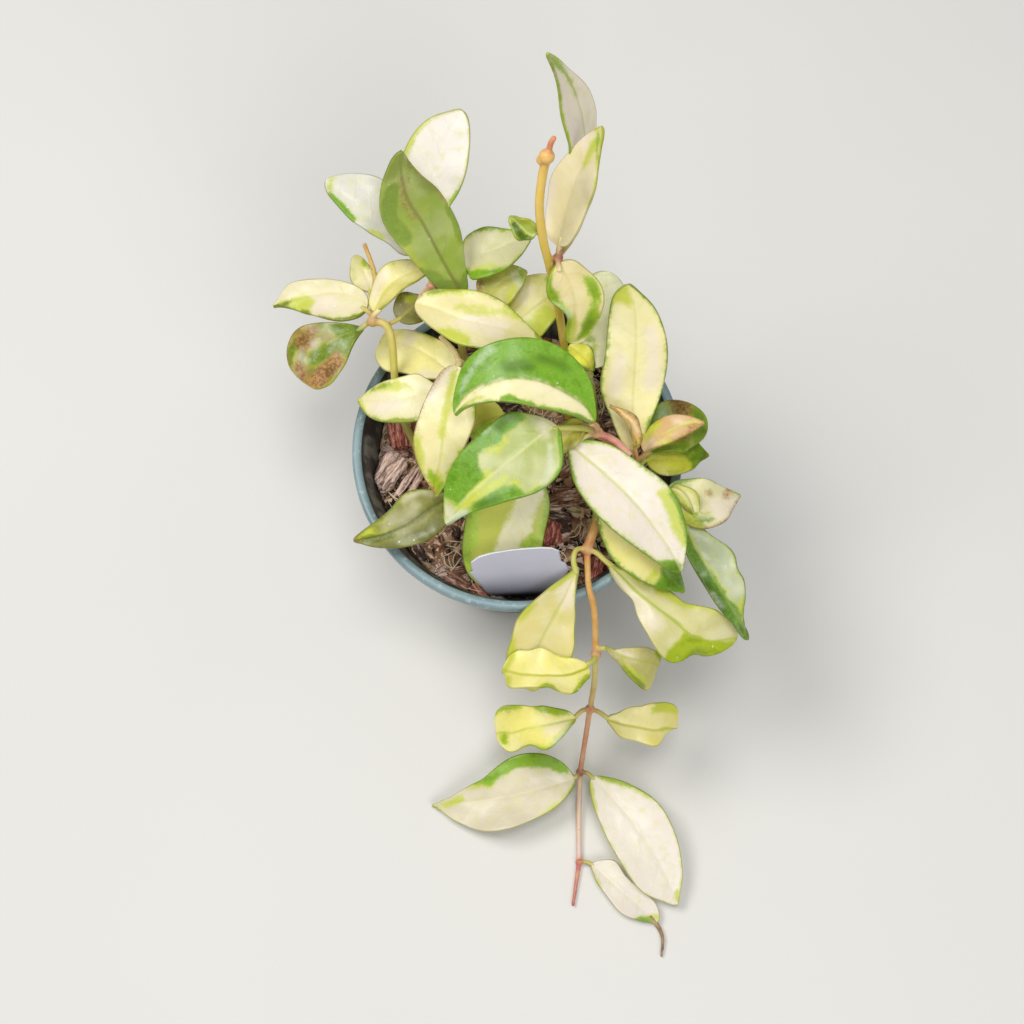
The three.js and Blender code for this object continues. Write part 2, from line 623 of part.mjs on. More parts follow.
        left: [2.6, 4.6, 7.2, 5.3, 1, 0.5] },
    ],
  },
  back_stem: {
    colour: COLOUR.foliage,
    shoots: [
      { radius: 1.4, points: [...stand(-6, 28), [-12, 35, 96], [-17, 40, 109]] },
    ],
    knots: [[-17, 40, 109, 2.1]],
    leaves: [
      { stalk: [-17, 40, 109], from: [-17, 50.5, 118], to: [4, 56, 124], width: 15.5,
        right: [6.5, 8, 8.4, 8.3, 5.2, 2], left: [5, 8, 8.2, 6.3, 4.3, 1.4] },
      { stalk: [-17, 40, 109], from: [-12, 40.5, 113], to: [3, 48, 117], width: 15 },
      { stalk: [-17, 40, 109], from: [-8, 29.5, 108], to: [15, 45, 114], width: 21,
        right: [5, 9, 10.5, 9.5, 7, 3.5], left: [5, 8.9, 9.6, 9.6, 7.7, 4] },
    ],
  },
  back_right_stem: {
    colour: COLOUR.paleFoliage,
    shoots: [
      { radius: 1.4, points: [...stand(26, 13), [24, 16, 96], [22.5, 18, 104]] },
    ],
    knots: [[22.5, 18, 104, 2.1]],
    leaves: [
      { stalk: [22.5, 18, 104], from: [23, 18.5, 109], to: [27, 46, 122], width: 18, bend: 1,
        point: 0.5 },
      { stalk: [22.5, 18, 104], from: [16, 24.5, 113], to: [24, 17.5, 109], width: 8 },
    ],
  },
};

// ---------------------------------------------------------------- the whole plant
const stemFeet = Object.values(STEMS).map(({ shoots }) => ({
  foot: shoots[0].points[0],
  radius: shoots[0].radius,
}));

const plant = new THREE.Group();
plant.add(namedMesh('pot', pot(), COLOUR.pot, 0.4));
plant.add(namedMesh('potting_mix', pottingMix(stemFeet, labelSheet(LABEL.slotRoom)), COLOUR.mix, 0.9));
plant.add(namedMesh('plant_label', labelSheet(0), COLOUR.label, 0.5));
for (const [name, stem] of Object.entries(STEMS)) {
  plant.add(leafyStem(name, stem.colour, stem));
}

export default plant;
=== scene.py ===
# A potted hoya with cream and green leaves, built up in the order it is potted: the thin nursery
# pot, the bark mix, the blank plant label, and then the leafy stems from the trailing vine to the
# low shoots at the back. Sizes are given in millimetres and set into Blender's metres.
import math
import random

import bmesh
import bpy
from mathutils import Matrix, Quaternion, Vector, noise
from mathutils.kdtree import KDTree


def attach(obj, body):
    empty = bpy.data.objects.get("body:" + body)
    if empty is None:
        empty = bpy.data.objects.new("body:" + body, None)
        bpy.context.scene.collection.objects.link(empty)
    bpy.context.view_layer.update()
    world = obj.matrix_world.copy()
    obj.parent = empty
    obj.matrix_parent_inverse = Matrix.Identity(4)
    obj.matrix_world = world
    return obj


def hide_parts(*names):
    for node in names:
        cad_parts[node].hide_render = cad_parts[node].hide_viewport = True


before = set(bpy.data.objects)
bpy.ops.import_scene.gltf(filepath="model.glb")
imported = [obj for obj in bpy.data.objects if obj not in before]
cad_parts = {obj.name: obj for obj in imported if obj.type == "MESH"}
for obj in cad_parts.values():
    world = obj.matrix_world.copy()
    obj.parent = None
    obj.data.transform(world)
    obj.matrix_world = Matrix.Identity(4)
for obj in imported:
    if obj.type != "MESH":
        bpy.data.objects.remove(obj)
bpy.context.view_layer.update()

MM = 0.001


# ------------------------------------------------------------------------------------------------
# The studio: a pale floor with no joins, three soft lamps and a faint sky. The camera looks steeply
# down from the front, as the plant was photographed.
def add(tree, kind, sockets=None, **settings):
    """A shader node with its settings, each socket given a value or another node's output."""
    node = tree.nodes.new("ShaderNode" + kind)
    for key, value in settings.items():
        setattr(node, key, value)
    for key, value in (sockets or {}).items():
        if isinstance(value, bpy.types.NodeSocket):
            tree.links.new(value, node.inputs[key])
        else:
            node.inputs[key].default_value = value
    return node


def new_finish(name, **values):
    """A fresh material, its node tree, and the shader that closes it, with its even values."""
    finish = bpy.data.materials.new(name)
    finish.use_nodes = True
    tree = finish.node_tree
    tree.nodes.clear()
    shader = add(tree, "BsdfPrincipled", {key.replace("_", " "): v for key, v in values.items()})
    add(tree, "OutputMaterial", {"Surface": shader.outputs[0]})
    return finish, tree, shader


def colour(red, green, blue):
    """A colour as the eye gives it, from 0 to 255, made linear for the shader."""
    parts = [c / 255 for c in (red, green, blue)]
    return (*[c / 12.92 if c < 0.04 else ((c + 0.055) / 1.055) ** 2.4 for c in parts], 1)


def grain(tree, place, scale, detail=3, rough=0.55):
    """A cloudy value about 0.5, with features of about 1 / scale metres."""
    cloud = add(tree, "TexNoise", {"Vector": place, "Scale": scale, "Detail": detail,
                                   "Roughness": rough})
    return cloud.outputs[0]


def sums(tree, operation, first, second=0, third=None):
    """One step of arithmetic on two or three values."""
    values = {0: first, 1: second}
    if third is not None:
        values[2] = third
    return add(tree, "Math", values, operation=operation).outputs[0]


def rise(tree, value, low, high, bottom=0.0, top=1.0):
    """A smooth rise from bottom to top as value goes from low to high."""
    return add(tree, "MapRange", {"Value": value, "From Min": low, "From Max": high,
                                  "To Min": bottom, "To Max": top},
               interpolation_type="SMOOTHSTEP").outputs[0]


def blend(tree, share, first, second, mode="MIX"):
    """Two colours mixed by a share, or one multiplied by the other."""
    mixer = tree.nodes.new("ShaderNodeMix")
    mixer.data_type, mixer.blend_type = "RGBA", mode
    for index, value in ((0, share), (6, first), (7, second)):
        if isinstance(value, bpy.types.NodeSocket):
            tree.links.new(value, mixer.inputs[index])
        else:
            mixer.inputs[index].default_value = value
    return mixer.outputs[2]


def bumps(tree, height, depth, strength=1.0, over=None):
    """Surface relief of that depth in millimetres, laid over an earlier one if given."""
    sockets = {"Height": height, "Distance": depth * MM, "Strength": strength}
    if over is not None:
        sockets["Normal"] = over
    return add(tree, "Bump", sockets).outputs[0]


def mesh_of(form, name):
    """The mesh that a finished form leaves behind."""
    shape = bpy.data.meshes.new(name)
    form.to_mesh(shape)
    form.free()
    return shape


def piece(name, shape, finishes, node=None):
    """A finished mesh set on the plant. It stands for a solid of the frame, if one is named."""
    made = bpy.data.objects.new(name, shape)
    bpy.context.scene.collection.objects.link(made)
    for finish in finishes:
        shape.materials.append(finish)
    for face in shape.polygons:
        face.use_smooth = True
    if node:
        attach(made, "root")
        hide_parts(node)
    return made


FLOOR_REACH = 6  # metres to each side

floor_form = bmesh.new()
bmesh.ops.create_grid(floor_form, x_segments=1, y_segments=1, size=FLOOR_REACH)
paper, tree, shader = new_finish("pale_paper", Roughness=0.75)
spot = add(tree, "TexCoord").outputs["Object"]
shade = blend(tree, rise(tree, grain(tree, spot, 3), 0.35, 0.65), colour(222, 221, 217),
              colour(226, 224, 219))
tree.links.new(shade, shader.inputs["Base Color"])
piece("studio_floor", mesh_of(floor_form, "floor"), [paper])

scene = bpy.context.scene
scene.view_settings.view_transform = "Standard"
scene.view_settings.look = "None"
sky = bpy.data.worlds.new("studio_sky")
sky.use_nodes = True
glow = sky.node_tree.nodes["Background"].inputs
glow["Color"].default_value = (0.93, 0.96, 1, 1)
glow["Strength"].default_value = 0.26
scene.world = sky

# Each lamp: its name, place, width, watts and tint. All of them are aimed at the leaves.
for lamp_name, where, size, power, tint in (
    ("window_lamp", (-0.6, 0.2, 1.2), 0.6, 8.3, (1, 0.985, 0.95)),
    ("front_lamp", (0.35, -0.8, 1.15), 0.8, 5.8, (1, 0.99, 0.97)),
    ("top_lamp", (0.05, -0.05, 1.5), 0.4, 5.7, (1, 1, 1)),
):
    light = bpy.data.lights.new(lamp_name, "AREA")
    light.shape, light.size, light.energy, light.color = "DISK", size, power, tint
    lamp = bpy.data.objects.new(lamp_name, light)
    lamp.location = where
    aim = Vector((0, -0.02, 0.08)) - Vector(where)
    lamp.rotation_euler = aim.to_track_quat("-Z", "Y").to_euler()
    scene.collection.objects.link(lamp)

eye = bpy.data.cameras.new("camera")
eye.lens, eye.sensor_width = 65.32, 36
eye.clip_start, eye.clip_end = 0.01, 20
camera = bpy.data.objects.new("camera", eye)
camera.location = (-0.0018, -0.1871, 0.6608)
camera.rotation_euler = (math.radians(16), 0, 0)
scene.collection.objects.link(camera)
scene.camera = camera

# ------------------------------------------------------------------------------------------------
# The pot: a thin nursery pot of dark polypropylene, tapered for stacking, with a rolled lip that
# catches the light and a floor with six drain holes. It is moulded in one shot, so it has no
# joins, only faint rings and the scuffs of handling.
POT_HEIGHT, RIM, FOOT, WALL, LIP = 84, 54, 36, 1.2, 2.6
POT_FLOOR, LIP_DEPTH = 1.6, 5
DRAINS, DRAIN_RING, DRAIN_RADIUS = 6, 24, 4
TAPER = (RIM - LIP - FOOT) / POT_HEIGHT


def inner_wall(height):
    """The inner radius of the tapered wall."""
    return FOOT + TAPER * height - WALL


# The wall's profile from the middle of the underside, up outside, over the lip and down inside,
# with faint rings pressed into it.
under = POT_HEIGHT - LIP_DEPTH
pot_profile = [
    (0.001, 0.6), (30, 0.6), (32, 0), (FOOT - 1.2, 0), (FOOT - 0.3, 0.4), (FOOT + 0.1, 1.2),
    *[(inner_wall(z) + WALL + 0.12 * math.sin(z * 0.9), z) for z in range(6, under - 1, 3)],
    (inner_wall(under) + WALL, under - 0.4), (RIM - 0.9, under - 0.1), (RIM - 0.35, under + 0.3),
    (RIM, under + 1.2), (RIM, POT_HEIGHT - 1), (RIM - 0.3, POT_HEIGHT - 0.3),
    (RIM - 0.95, POT_HEIGHT), (RIM - LIP + 0.6, POT_HEIGHT), (RIM - LIP, POT_HEIGHT - 0.3),
    (RIM - LIP - 0.6, POT_HEIGHT - 1.1),
    *[(inner_wall(z) + 0.08 * math.sin(z * 0.9), z) for z in range(under - 1, 5, -3)],
    (inner_wall(3) - 0.6, 2.4), (inner_wall(2) - 1.6, POT_FLOOR), (0.001, POT_FLOOR),
]
pot_form = bmesh.new()
corners = [pot_form.verts.new((r * MM, 0, z * MM)) for r, z in pot_profile]
profile_edges = [pot_form.edges.new(pair) for pair in zip(corners, corners[1:])]
bmesh.ops.spin(pot_form, geom=corners + profile_edges, cent=(0, 0, 0), axis=(0, 0, 1),
               angle=math.tau, steps=144, use_merge=True)
bmesh.ops.remove_doubles(pot_form, verts=pot_form.verts, dist=0.02 * MM)
bmesh.ops.recalc_face_normals(pot_form, faces=pot_form.faces)

# The plastic is dark, with painted reflections streaked down the inner wall and a painted sheen on its
# scuffed lip.
plastic, tree, shader = new_finish("dark_polypropylene")
spot = add(tree, "TexCoord").outputs["Object"]
height = add(tree, "SeparateXYZ", {"Vector": spot}).outputs["Z"]
level = add(tree, "VectorMath", {0: spot, 1: (1, 1, 0)}, operation="MULTIPLY").outputs[0]
outward = add(tree, "VectorMath", {0: level}, operation="LENGTH").outputs["Value"]
cloud = grain(tree, spot, 90, 4)
scuff = rise(tree, grain(tree, spot, 420, 5, 0.7), 0.54, 0.72)
drawn = grain(tree, add(tree, "Mapping", {"Vector": spot, "Scale": (1, 1, 0.12)}).outputs[0], 170, 3)
body = blend(tree, cloud, colour(26, 31, 32), colour(50, 57, 58))
wall_middle = sums(tree, "MULTIPLY_ADD", height, TAPER, (FOOT - WALL / 2) * MM)
within = rise(tree, sums(tree, "SUBTRACT", wall_middle, outward), -0.2 * MM, 0.2 * MM, 0.04, 0.6)
# Painted reflection: pale streaks run down the inner wall where the plastic mirrors the light.
reflection_streaks = sums(tree, "MULTIPLY", rise(tree, drawn, 0.48, 0.62), within)
body = blend(tree, reflection_streaks, body, colour(150, 156, 148))
lip = sums(tree, "MULTIPLY", rise(tree, outward, (RIM - LIP - 0.5) * MM, (RIM - LIP - 0.3) * MM),
           rise(tree, height, (under - 1.5) * MM, (under - 0.5) * MM))
# Painted sheen: the lip is lightened to the pale blue-grey of the light it reflects, mottled by real
# scuffs.
lip_sheen_and_wear = blend(tree, sums(tree, "MULTIPLY_ADD", scuff, 0.6, sums(tree, "MULTIPLY", cloud, 0.5)),
             colour(104, 130, 138), colour(182, 202, 204))
body = blend(tree, lip, body, lip_sheen_and_wear)
tree.links.new(body, shader.inputs["Base Color"])
tree.links.new(rise(tree, cloud, 0.3, 0.7, 0.3, 0.46), shader.inputs["Roughness"])
rings = add(tree, "TexWave", {"Vector": spot, "Scale": 160, "Distortion": 1.5, "Detail": 1},
            bands_direction="Z").outputs[1]
relief = bumps(tree, rings, 0.05, 0.4)
tree.links.new(bumps(tree, scuff, 0.08, 0.6, relief), shader.inputs["Normal"])

pot = piece("nursery_pot", mesh_of(pot_form, "nursery_pot"), [plastic], "pot")

# The drain holes are punched through the floor with round pins.
pins_form = bmesh.new()
for turn in range(DRAINS):
    at = (Matrix.Rotation(math.tau * turn / DRAINS, 4, "Z")
          @ Matrix.Translation((DRAIN_RING * MM, 0, 0)))
    bmesh.ops.create_cone(pins_form, cap_ends=True, segments=32, radius1=DRAIN_RADIUS * MM,
                          radius2=DRAIN_RADIUS * MM, depth=20 * MM, matrix=at)
pins_shape = mesh_of(pins_form, "pins")
pins = bpy.data.objects.new("pins", pins_shape)
scene.collection.objects.link(pins)
punch = pot.modifiers.new("drain_holes", "BOOLEAN")
punch.object, punch.operation, punch.solver = pins, "DIFFERENCE", "EXACT"


def keep_result(made):
    """Bakes an object's modifiers into its mesh."""
    looks = bpy.context.evaluated_depsgraph_get()
    finished = bpy.data.meshes.new_from_object(made.evaluated_get(looks))
    made.modifiers.clear()
    old, made.data = made.data, finished
    bpy.data.meshes.remove(old)
    finished.name = made.name
    return finished


keep_result(pot)
bpy.data.objects.remove(pins)
bpy.data.meshes.remove(pins_shape)
pot.data.set_sharp_from_angle(angle=math.radians(48))

# ------------------------------------------------------------------------------------------------
# The bark mix: broken pine bark, coir strands and dark peat, filled to about 17 mm below the lip.
# The ground is one settled body, and chips, crumbs and strands lie loose on it, half sunk.
MIX_TOP, MIX_GAP, MIX_RINGS = 67, 0.35, 62
CRUMBS, STRANDS, LOOSE_REACH = 620, 430, 46
CHIP_SINK, CRUMB_LIFT = 2.2, 0.35


def ground_height(x, y):
    """The height of the settled mix at a place, in millimetres."""
    at = Vector((x, y, 3))
    lumps = noise.noise(at / 9) * 1.5 + noise.noise(at / 3.6) * 0.9 + noise.noise(at / 1.5) * 0.4
    return MIX_TOP - 1.2 + 1.6 * (1 - (x * x + y * y) / 2400) + lumps


# The bed is spun flat, and then its top is raised and lowered to the lumps of the ground.
bed_form = bmesh.new()
reach, flat = inner_wall(MIX_TOP) - MIX_GAP, MIX_TOP - 1
bed_profile = [(max(reach * (i / MIX_RINGS) ** 0.8, 0.001), flat) for i in range(MIX_RINGS + 1)]
bed_profile += [(inner_wall(z) - MIX_GAP, z) for z in (62, 50, 36, 20, 8, 2)]
bed_profile.append((0.001, 2))
bed_line = [bed_form.verts.new((r * MM, 0, z * MM)) for r, z in bed_profile]
bed_edges = [bed_form.edges.new(pair) for pair in zip(bed_line, bed_line[1:])]
bmesh.ops.spin(bed_form, geom=bed_line + bed_edges, cent=(0, 0, 0), axis=(0, 0, 1),
               angle=math.tau, steps=150, use_merge=True)
bmesh.ops.remove_doubles(bed_form, verts=bed_form.verts, dist=0.01 * MM)
bmesh.ops.recalc_face_normals(bed_form, faces=bed_form.faces)
for corner in bed_form.verts:
    if abs(corner.co.z / MM - flat) < 0.01:
        corner.co.z = ground_height(corner.co.x / MM, corner.co.y / MM) * MM

peat, tree, shader = new_finish("dark_peat", Roughness=0.92)
spot = add(tree, "TexCoord").outputs["Object"]
crumb = add(tree, "TexVoronoi", {"Vector": spot, "Scale": 620}).outputs["Color"]
patch = grain(tree, spot, 160, 5, 0.65)
earth = blend(tree, rise(tree, patch, 0.42, 0.6), colour(14, 10, 8), colour(172, 128, 98))
bits = add(tree, "SeparateColor", {"Color": crumb}).outputs[0]
earth = blend(tree, rise(tree, bits, 0.66, 0.76, 0, 0.95), earth, colour(244, 214, 184))
tree.links.new(earth, shader.inputs["Base Color"])
relief = bumps(tree, patch, 1.2, 0.8)
tree.links.new(bumps(tree, crumb, 0.5, 0.5, relief), shader.inputs["Normal"])
piece("settled_mix", mesh_of(bed_form, "settled_mix"), [peat], "potting_mix")

# Bark is streaked along its fibre, with painted shade in the furrows and painted highlights on the raised
# strands.
bark, tree, shader = new_finish("pine_bark", Roughness=0.82)
fibre = add(tree, "Attribute", attribute_name="fibre").outputs["Vector"]
tone = add(tree, "Attribute", attribute_name="tone").outputs["Color"]
along = add(tree, "Mapping", {"Vector": fibre, "Scale": (0.16, 1, 1)}).outputs[0]
strands = grain(tree, along, 1050, 4, 0.75)
broad = grain(tree, fibre, 260, 3)
# Painted shade: the furrows between the strands are darkened nearly to black.
furrow_shade = blend(tree, 0.78, tone, (0.02, 0.012, 0.01, 1))
woody = blend(tree, rise(tree, strands, 0.4, 0.56), furrow_shade, tone)
# Painted highlight: the raised strands are lightened to a pale pink white.
woody = blend(tree, rise(tree, strands, 0.52, 0.68, 0, 0.7), woody, colour(255, 238, 226))
tree.links.new(woody, shader.inputs["Base Color"])
relief = bumps(tree, strands, 0.9, 1)
tree.links.new(bumps(tree, broad, 0.6, 0.5, relief), shader.inputs["Normal"])

REDDISH, TAN, BROWN, DUSK = (206, 112, 94), (255, 218, 202), (166, 116, 90), (96, 66, 54)

# Without a seed the roughness of the chips would be drawn by the clock.
noise.seed_set(5)


def bark_chip(form, at, size, turn, wood, fineness=4):
    """One broken chip in a shared form, long along the wood's fibre, and clear of the pot's wall."""
    block = bmesh.ops.create_icosphere(form, subdivisions=fineness, radius=1)["verts"]
    layers = form.verts.layers
    fibre_layer, tone_layer = layers.float_vector["fibre"], layers.float_color["tone"]
    shift = Vector(at) * 0.37
    for corner in block:
        squared = sum(abs(c) ** 7 for c in corner.co) ** (1 / 7)
        where = Vector([corner.co[i] / squared * size[i] / 2 for i in range(3)])
        where.x *= 1 + 0.32 * noise.noise(Vector((3, where.y, where.z)) * 1.3 + shift)
        where.y *= 1 + 0.3 * noise.noise(where * 0.16 + shift)
        where.z *= 1 + 0.5 * noise.noise(where * 0.22 + shift * 1.3)
        where += noise.noise_vector(where * 0.5 + shift) * 0.09 * min(size[1], 4)
        where.z += 0.12 * noise.noise(Vector((where.x * 0.25, where.y * 2.2, 0)) + shift)
        corner[fibre_layer] = (where + shift * 9) * MM
        corner[tone_layer] = colour(*wood)
        place = Vector(at) + turn @ where
        spare = (inner_wall(place.z) - 0.3) / math.hypot(place.x, place.y)
        if spare < 1:
            place.x, place.y = place.x * spare, place.y * spare
        corner.co = place * MM


def chip_form():
    """An empty form for chips, which carries their fibre and their wood's colour."""
    form = bmesh.new()
    form.verts.layers.float_vector.new("fibre")
    form.verts.layers.float_color.new("tone")
    return form


def turned(yaw, pitch, roll):
    """A turn in degrees: yaw from above, pitch along the grain, roll about the grain."""
    return (Quaternion((0, 0, 1), math.radians(yaw)) @ Quaternion((0, 1, 0), math.radians(pitch))
            @ Quaternion((1, 0, 0), math.radians(roll)))


# The chips that show plainly: where, length by width by thickness, how turned, and their wood.
big_chips = chip_form()
for x, y, lift, size, turn, wood in (
    (-38.8, 9.4, 6.4, (9.6, 9, 5), turned(-80, 4, 6), REDDISH),
    (-43, -3.5, 5.2, (12.5, 8, 5), turned(56, 6, 20), TAN),
    (-36.5, -6, 4.2, (13, 2.4, 2.4), turned(58, 8, 10), TAN),
    (-33.5, -7, 4.4, (12, 2.2, 2.2), turned(62, 4, -10), (226, 184, 164)),
    (-40, 3.5, 4, (7, 3, 2.4), turned(10, 0, 10), (206, 160, 148)),
    (-30, -11, 2.4, (13, 3, 2.6), turned(50, -6, 10), BROWN),
    (11, -25.6, 5.2, (8.5, 5.6, 5), turned(80, 14, 12), REDDISH),
    (25.4, -38, 5, (9, 5.4, 5), turned(76, 6, -10), REDDISH),
    (30, -38.5, 4.4, (6, 3.6, 3.4), turned(80, 4, 20), REDDISH),
    (16.5, -12.6, 4, (13, 6, 4), turned(12, -5, 8), BROWN),
    (12, -20, 2.6, (11, 7, 4), turned(170, 6, 0), DUSK),
    (-20, -41, 2.6, (8, 5, 3.5), turned(-30, 8, 12), BROWN),
    (-26, -38, 3.2, (6, 4, 3), turned(20, 4, -14), TAN),
    (-12, -45, 2.4, (8, 3.5, 3), turned(-55, 10, 12), REDDISH),
    (-33, -30, 2.0, (9, 5, 3), turned(-60, 4, 8), DUSK),
    (40, 12, 3.4, (12, 8, 5), turned(40, 6, 14), BROWN),
    (5, 40, 3.4, (13, 8, 5), turned(15, 6, 14), REDDISH),
    (-24, 36, 3.4, (12, 7, 5), turned(120, 6, 14), BROWN),
    (36, 28, 3.4, (11, 7, 4), turned(80, 6, -14), TAN),
    (-5, 18, 3.0, (12, 8, 5), turned(30, 6, 14), DUSK),
    (22, -2, 2.8, (11, 8, 5), turned(100, 6, 14), REDDISH),
):
    bark_chip(big_chips, (x, y, ground_height(x, y) + lift - CHIP_SINK), size, turn, wood)
chips = piece("bark_chips", mesh_of(big_chips, "bark_chips"), [bark], "potting_mix")
chips.data.set_sharp_from_angle(angle=math.radians(34))

# The small stuff between them, thrown in by a seeded draw.
draw = random.Random(11)


def loose_place():
    """The next drawn place on the mix, in millimetres."""
    spread, bearing = LOOSE_REACH * math.sqrt(draw.random()), draw.uniform(0, math.tau)
    return spread * math.cos(bearing), spread * math.sin(bearing)


small_chips = chip_form()
for count in range(CRUMBS):
    x, y = loose_place()
    long = draw.choice((1, 1.4, 1.8, 2.4, 3.2, 4.2, 6))
    size = (long, long * draw.uniform(0.35, 0.7), long * draw.uniform(0.25, 0.5))
    turn = turned(draw.uniform(0, 360), draw.uniform(-25, 25), draw.uniform(-40, 40))
    wood = draw.choice((REDDISH, TAN, BROWN, TAN, DUSK, DUSK, (244, 214, 166), (226, 186, 164)))
    bark_chip(small_chips, (x, y, ground_height(x, y) + CRUMB_LIFT), size, turn, wood, 2)
crumbs = piece("bark_crumbs", mesh_of(small_chips, "bark_crumbs"), [bark], "potting_mix")
crumbs.data.set_sharp_from_angle(angle=math.radians(30))


def smooth_path(points, steps):
    """Evenly counted places on a smooth curve through the points."""
    points = [Vector(p) for p in points]
    padded = [2 * points[0] - points[1], *points, 2 * points[-1] - points[-2]]
    places = []
    for i in range(steps + 1):
        whole = i / steps * (len(points) - 1)
        k = min(int(whole), len(points) - 2)
        f = whole - k
        a, b, c, d = padded[k:k + 4]
        places.append(0.5 * ((2 * b) + (c - a) * f + (2 * a - 5 * b + 4 * c - d) * f * f
                             + (3 * b - a - 3 * c + d) * f ** 3))
    return places


def strand(form, points, thickness, steps, sides=4):
    """A thin round strand along a path, tapered at both ends, added to a form."""
    path = smooth_path(points, steps)
    made = bmesh.ops.create_grid(form, x_segments=steps, y_segments=sides, size=1)["verts"]
    across = Vector((0.31, 0.52, 0.79))
    for corner in made:
        row = round((corner.co.x + 1) / 2 * steps)
        turn = math.pi * (1 + corner.co.y)
        ahead = (path[min(row + 1, steps)] - path[max(row - 1, 0)]).normalized()
        first = ahead.cross(across).normalized()
        second = first.cross(ahead)
        share = row / steps
        radius = (thickness(share) if callable(thickness) else thickness) / 2
        corner.co = (path[row] + radius * (math.cos(turn) * first + math.sin(turn) * second)) * MM
    bmesh.ops.remove_doubles(form, verts=made, dist=0.001 * MM)


coir_form = bmesh.new()
for count in range(STRANDS):
    x, y = loose_place()
    heading = draw.uniform(0, math.tau)
    line = []
    for knot in range(5):
        edge = math.hypot(x, y)
        if edge > LOOSE_REACH:
            x, y = x * LOOSE_REACH / edge, y * LOOSE_REACH / edge
        lift = draw.uniform(-0.4, 0.6) if knot in (0, 4) else draw.uniform(0.3, 2.6)
        line.append((x, y, ground_height(x, y) + lift))
        heading += draw.uniform(-0.9, 0.9)
        step = draw.uniform(2.5, 5.5)
        x, y = x + step * math.cos(heading), y + step * math.sin(heading)
    fat = draw.choice((0.2, 0.26, 0.34, 0.5))
    strand(coir_form, line,
           lambda share, fat=fat: fat * (0.35 + 1.3 * math.sqrt(share * (1 - share))), 12)
coir, tree, shader = new_finish("coir_fibre", Roughness=0.7)
spot = add(tree, "TexCoord").outputs["Object"]
tint = blend(tree, rise(tree, grain(tree, spot, 130, 2), 0.42, 0.58),
             colour(140, 98, 70), colour(250, 230, 194))
tree.links.new(tint, shader.inputs["Base Color"])
tree.links.new(bumps(tree, grain(tree, spot, 2600), 0.05), shader.inputs["Normal"])
piece("coir_strands", mesh_of(coir_form, "coir_strands"), [coir], "potting_mix")

# ------------------------------------------------------------------------------------------------
# The plant label: a thin strip of white polystyrene, cut with a broad head and a narrow point. It
# is pushed in against the front wall and its blank head leans back over the rim.
LABEL_THICKNESS = 0.8

# The (y, z) places of its middle line, from the foot in the mix to the head.
LABEL_LINE = [(-42, 50), (-43.4, 57), (-44.8, 64), (-46, 71), (-47, 77), (-46.8, 81.5),
              (-44.2, 86.5), (-40.2, 90), (-36.2, 93)]


def along_line(values, share):
    """A value on a smooth run through the given ones, share from 0 to 1."""
    whole = min(max(share, 0), 1) * (len(values) - 1)
    k = min(int(whole), len(values) - 2)
    f = whole - k
    a, b, c, d = (values[min(max(k + j, 0), len(values) - 1)] for j in (-1, 0, 1, 2))
    return b + 0.5 * f * (c - a + f * (2 * a - 5 * b + 4 * c - d + f * (3 * (b - c) + d - a)))


# Its left and right sides, in mm off the middle line against the share of the length, narrow in a
# straight run to the foot, with a small hanging notch on each side under the head. The head's end
# is rounded: how far up the length it comes, against the place across it.
LEFT_SIDE = [(0, -1.5), (0.25, -4.6), (0.5, -8.2), (0.7, -11.6), (0.845, -15.4), (0.85, -14.3),
             (1, -15.3)]
RIGHT_SIDE = [(0, 1.5), (0.25, 4.6), (0.5, 9), (0.7, 14.2), (0.8, 16.4), (0.855, 15),
              (0.86, 13.9), (1, 12.5)]
HEAD = [(-1, 0.93), (-0.8, 0.978), (-0.5, 1), (0, 0.997), (0.6, 0.978), (0.85, 0.964), (1, 0.936)]


def read_off(pairs, place):
    """A value read in straight runs off (place, value) pairs."""
    for (x0, y0), (x1, y1) in zip(pairs, pairs[1:]):
        if place <= x1:
            return y0 + (y1 - y0) * (place - x0) / (x1 - x0)
    return pairs[-1][1]


label_form = bmesh.new()
label_form.loops.layers.uv.new("strip")
bmesh.ops.create_grid(label_form, x_segments=36, y_segments=150, size=1, calc_uvs=True)
for corner in label_form.verts:
    across, row = corner.co.x, (corner.co.y + 1) / 2
    share = row * (1 - (1 - read_off(HEAD, across)) * row ** 14)
    y = along_line([p[0] for p in LABEL_LINE], share)
    z = along_line([p[1] for p in LABEL_LINE], share)
    low_side, high_side = read_off(LEFT_SIDE, share), read_off(RIGHT_SIDE, share)
    x = low_side + (high_side - low_side) * (across + 1) / 2
    y += 0.15 * x * share ** 3 - 0.002 * x * x * share ** 2
    z += 0.02 * x * share
    corner.co = Vector((x, y, z)) * MM

# The plastic is a hazy lavender grey, darkened towards the mix by painted shade, with a white cut edge at
# the head.
card, tree, shader = new_finish("white_label_plastic", Roughness=0.42, Subsurface_Weight=0.08,
                                Subsurface_Scale=2 * MM)
spot = add(tree, "TexCoord").outputs["Object"]
height = add(tree, "SeparateXYZ", {"Vector": spot}).outputs["Z"]
haze = grain(tree, spot, 60, 3)
clean = blend(tree, haze, colour(176, 175, 188), colour(196, 195, 206))
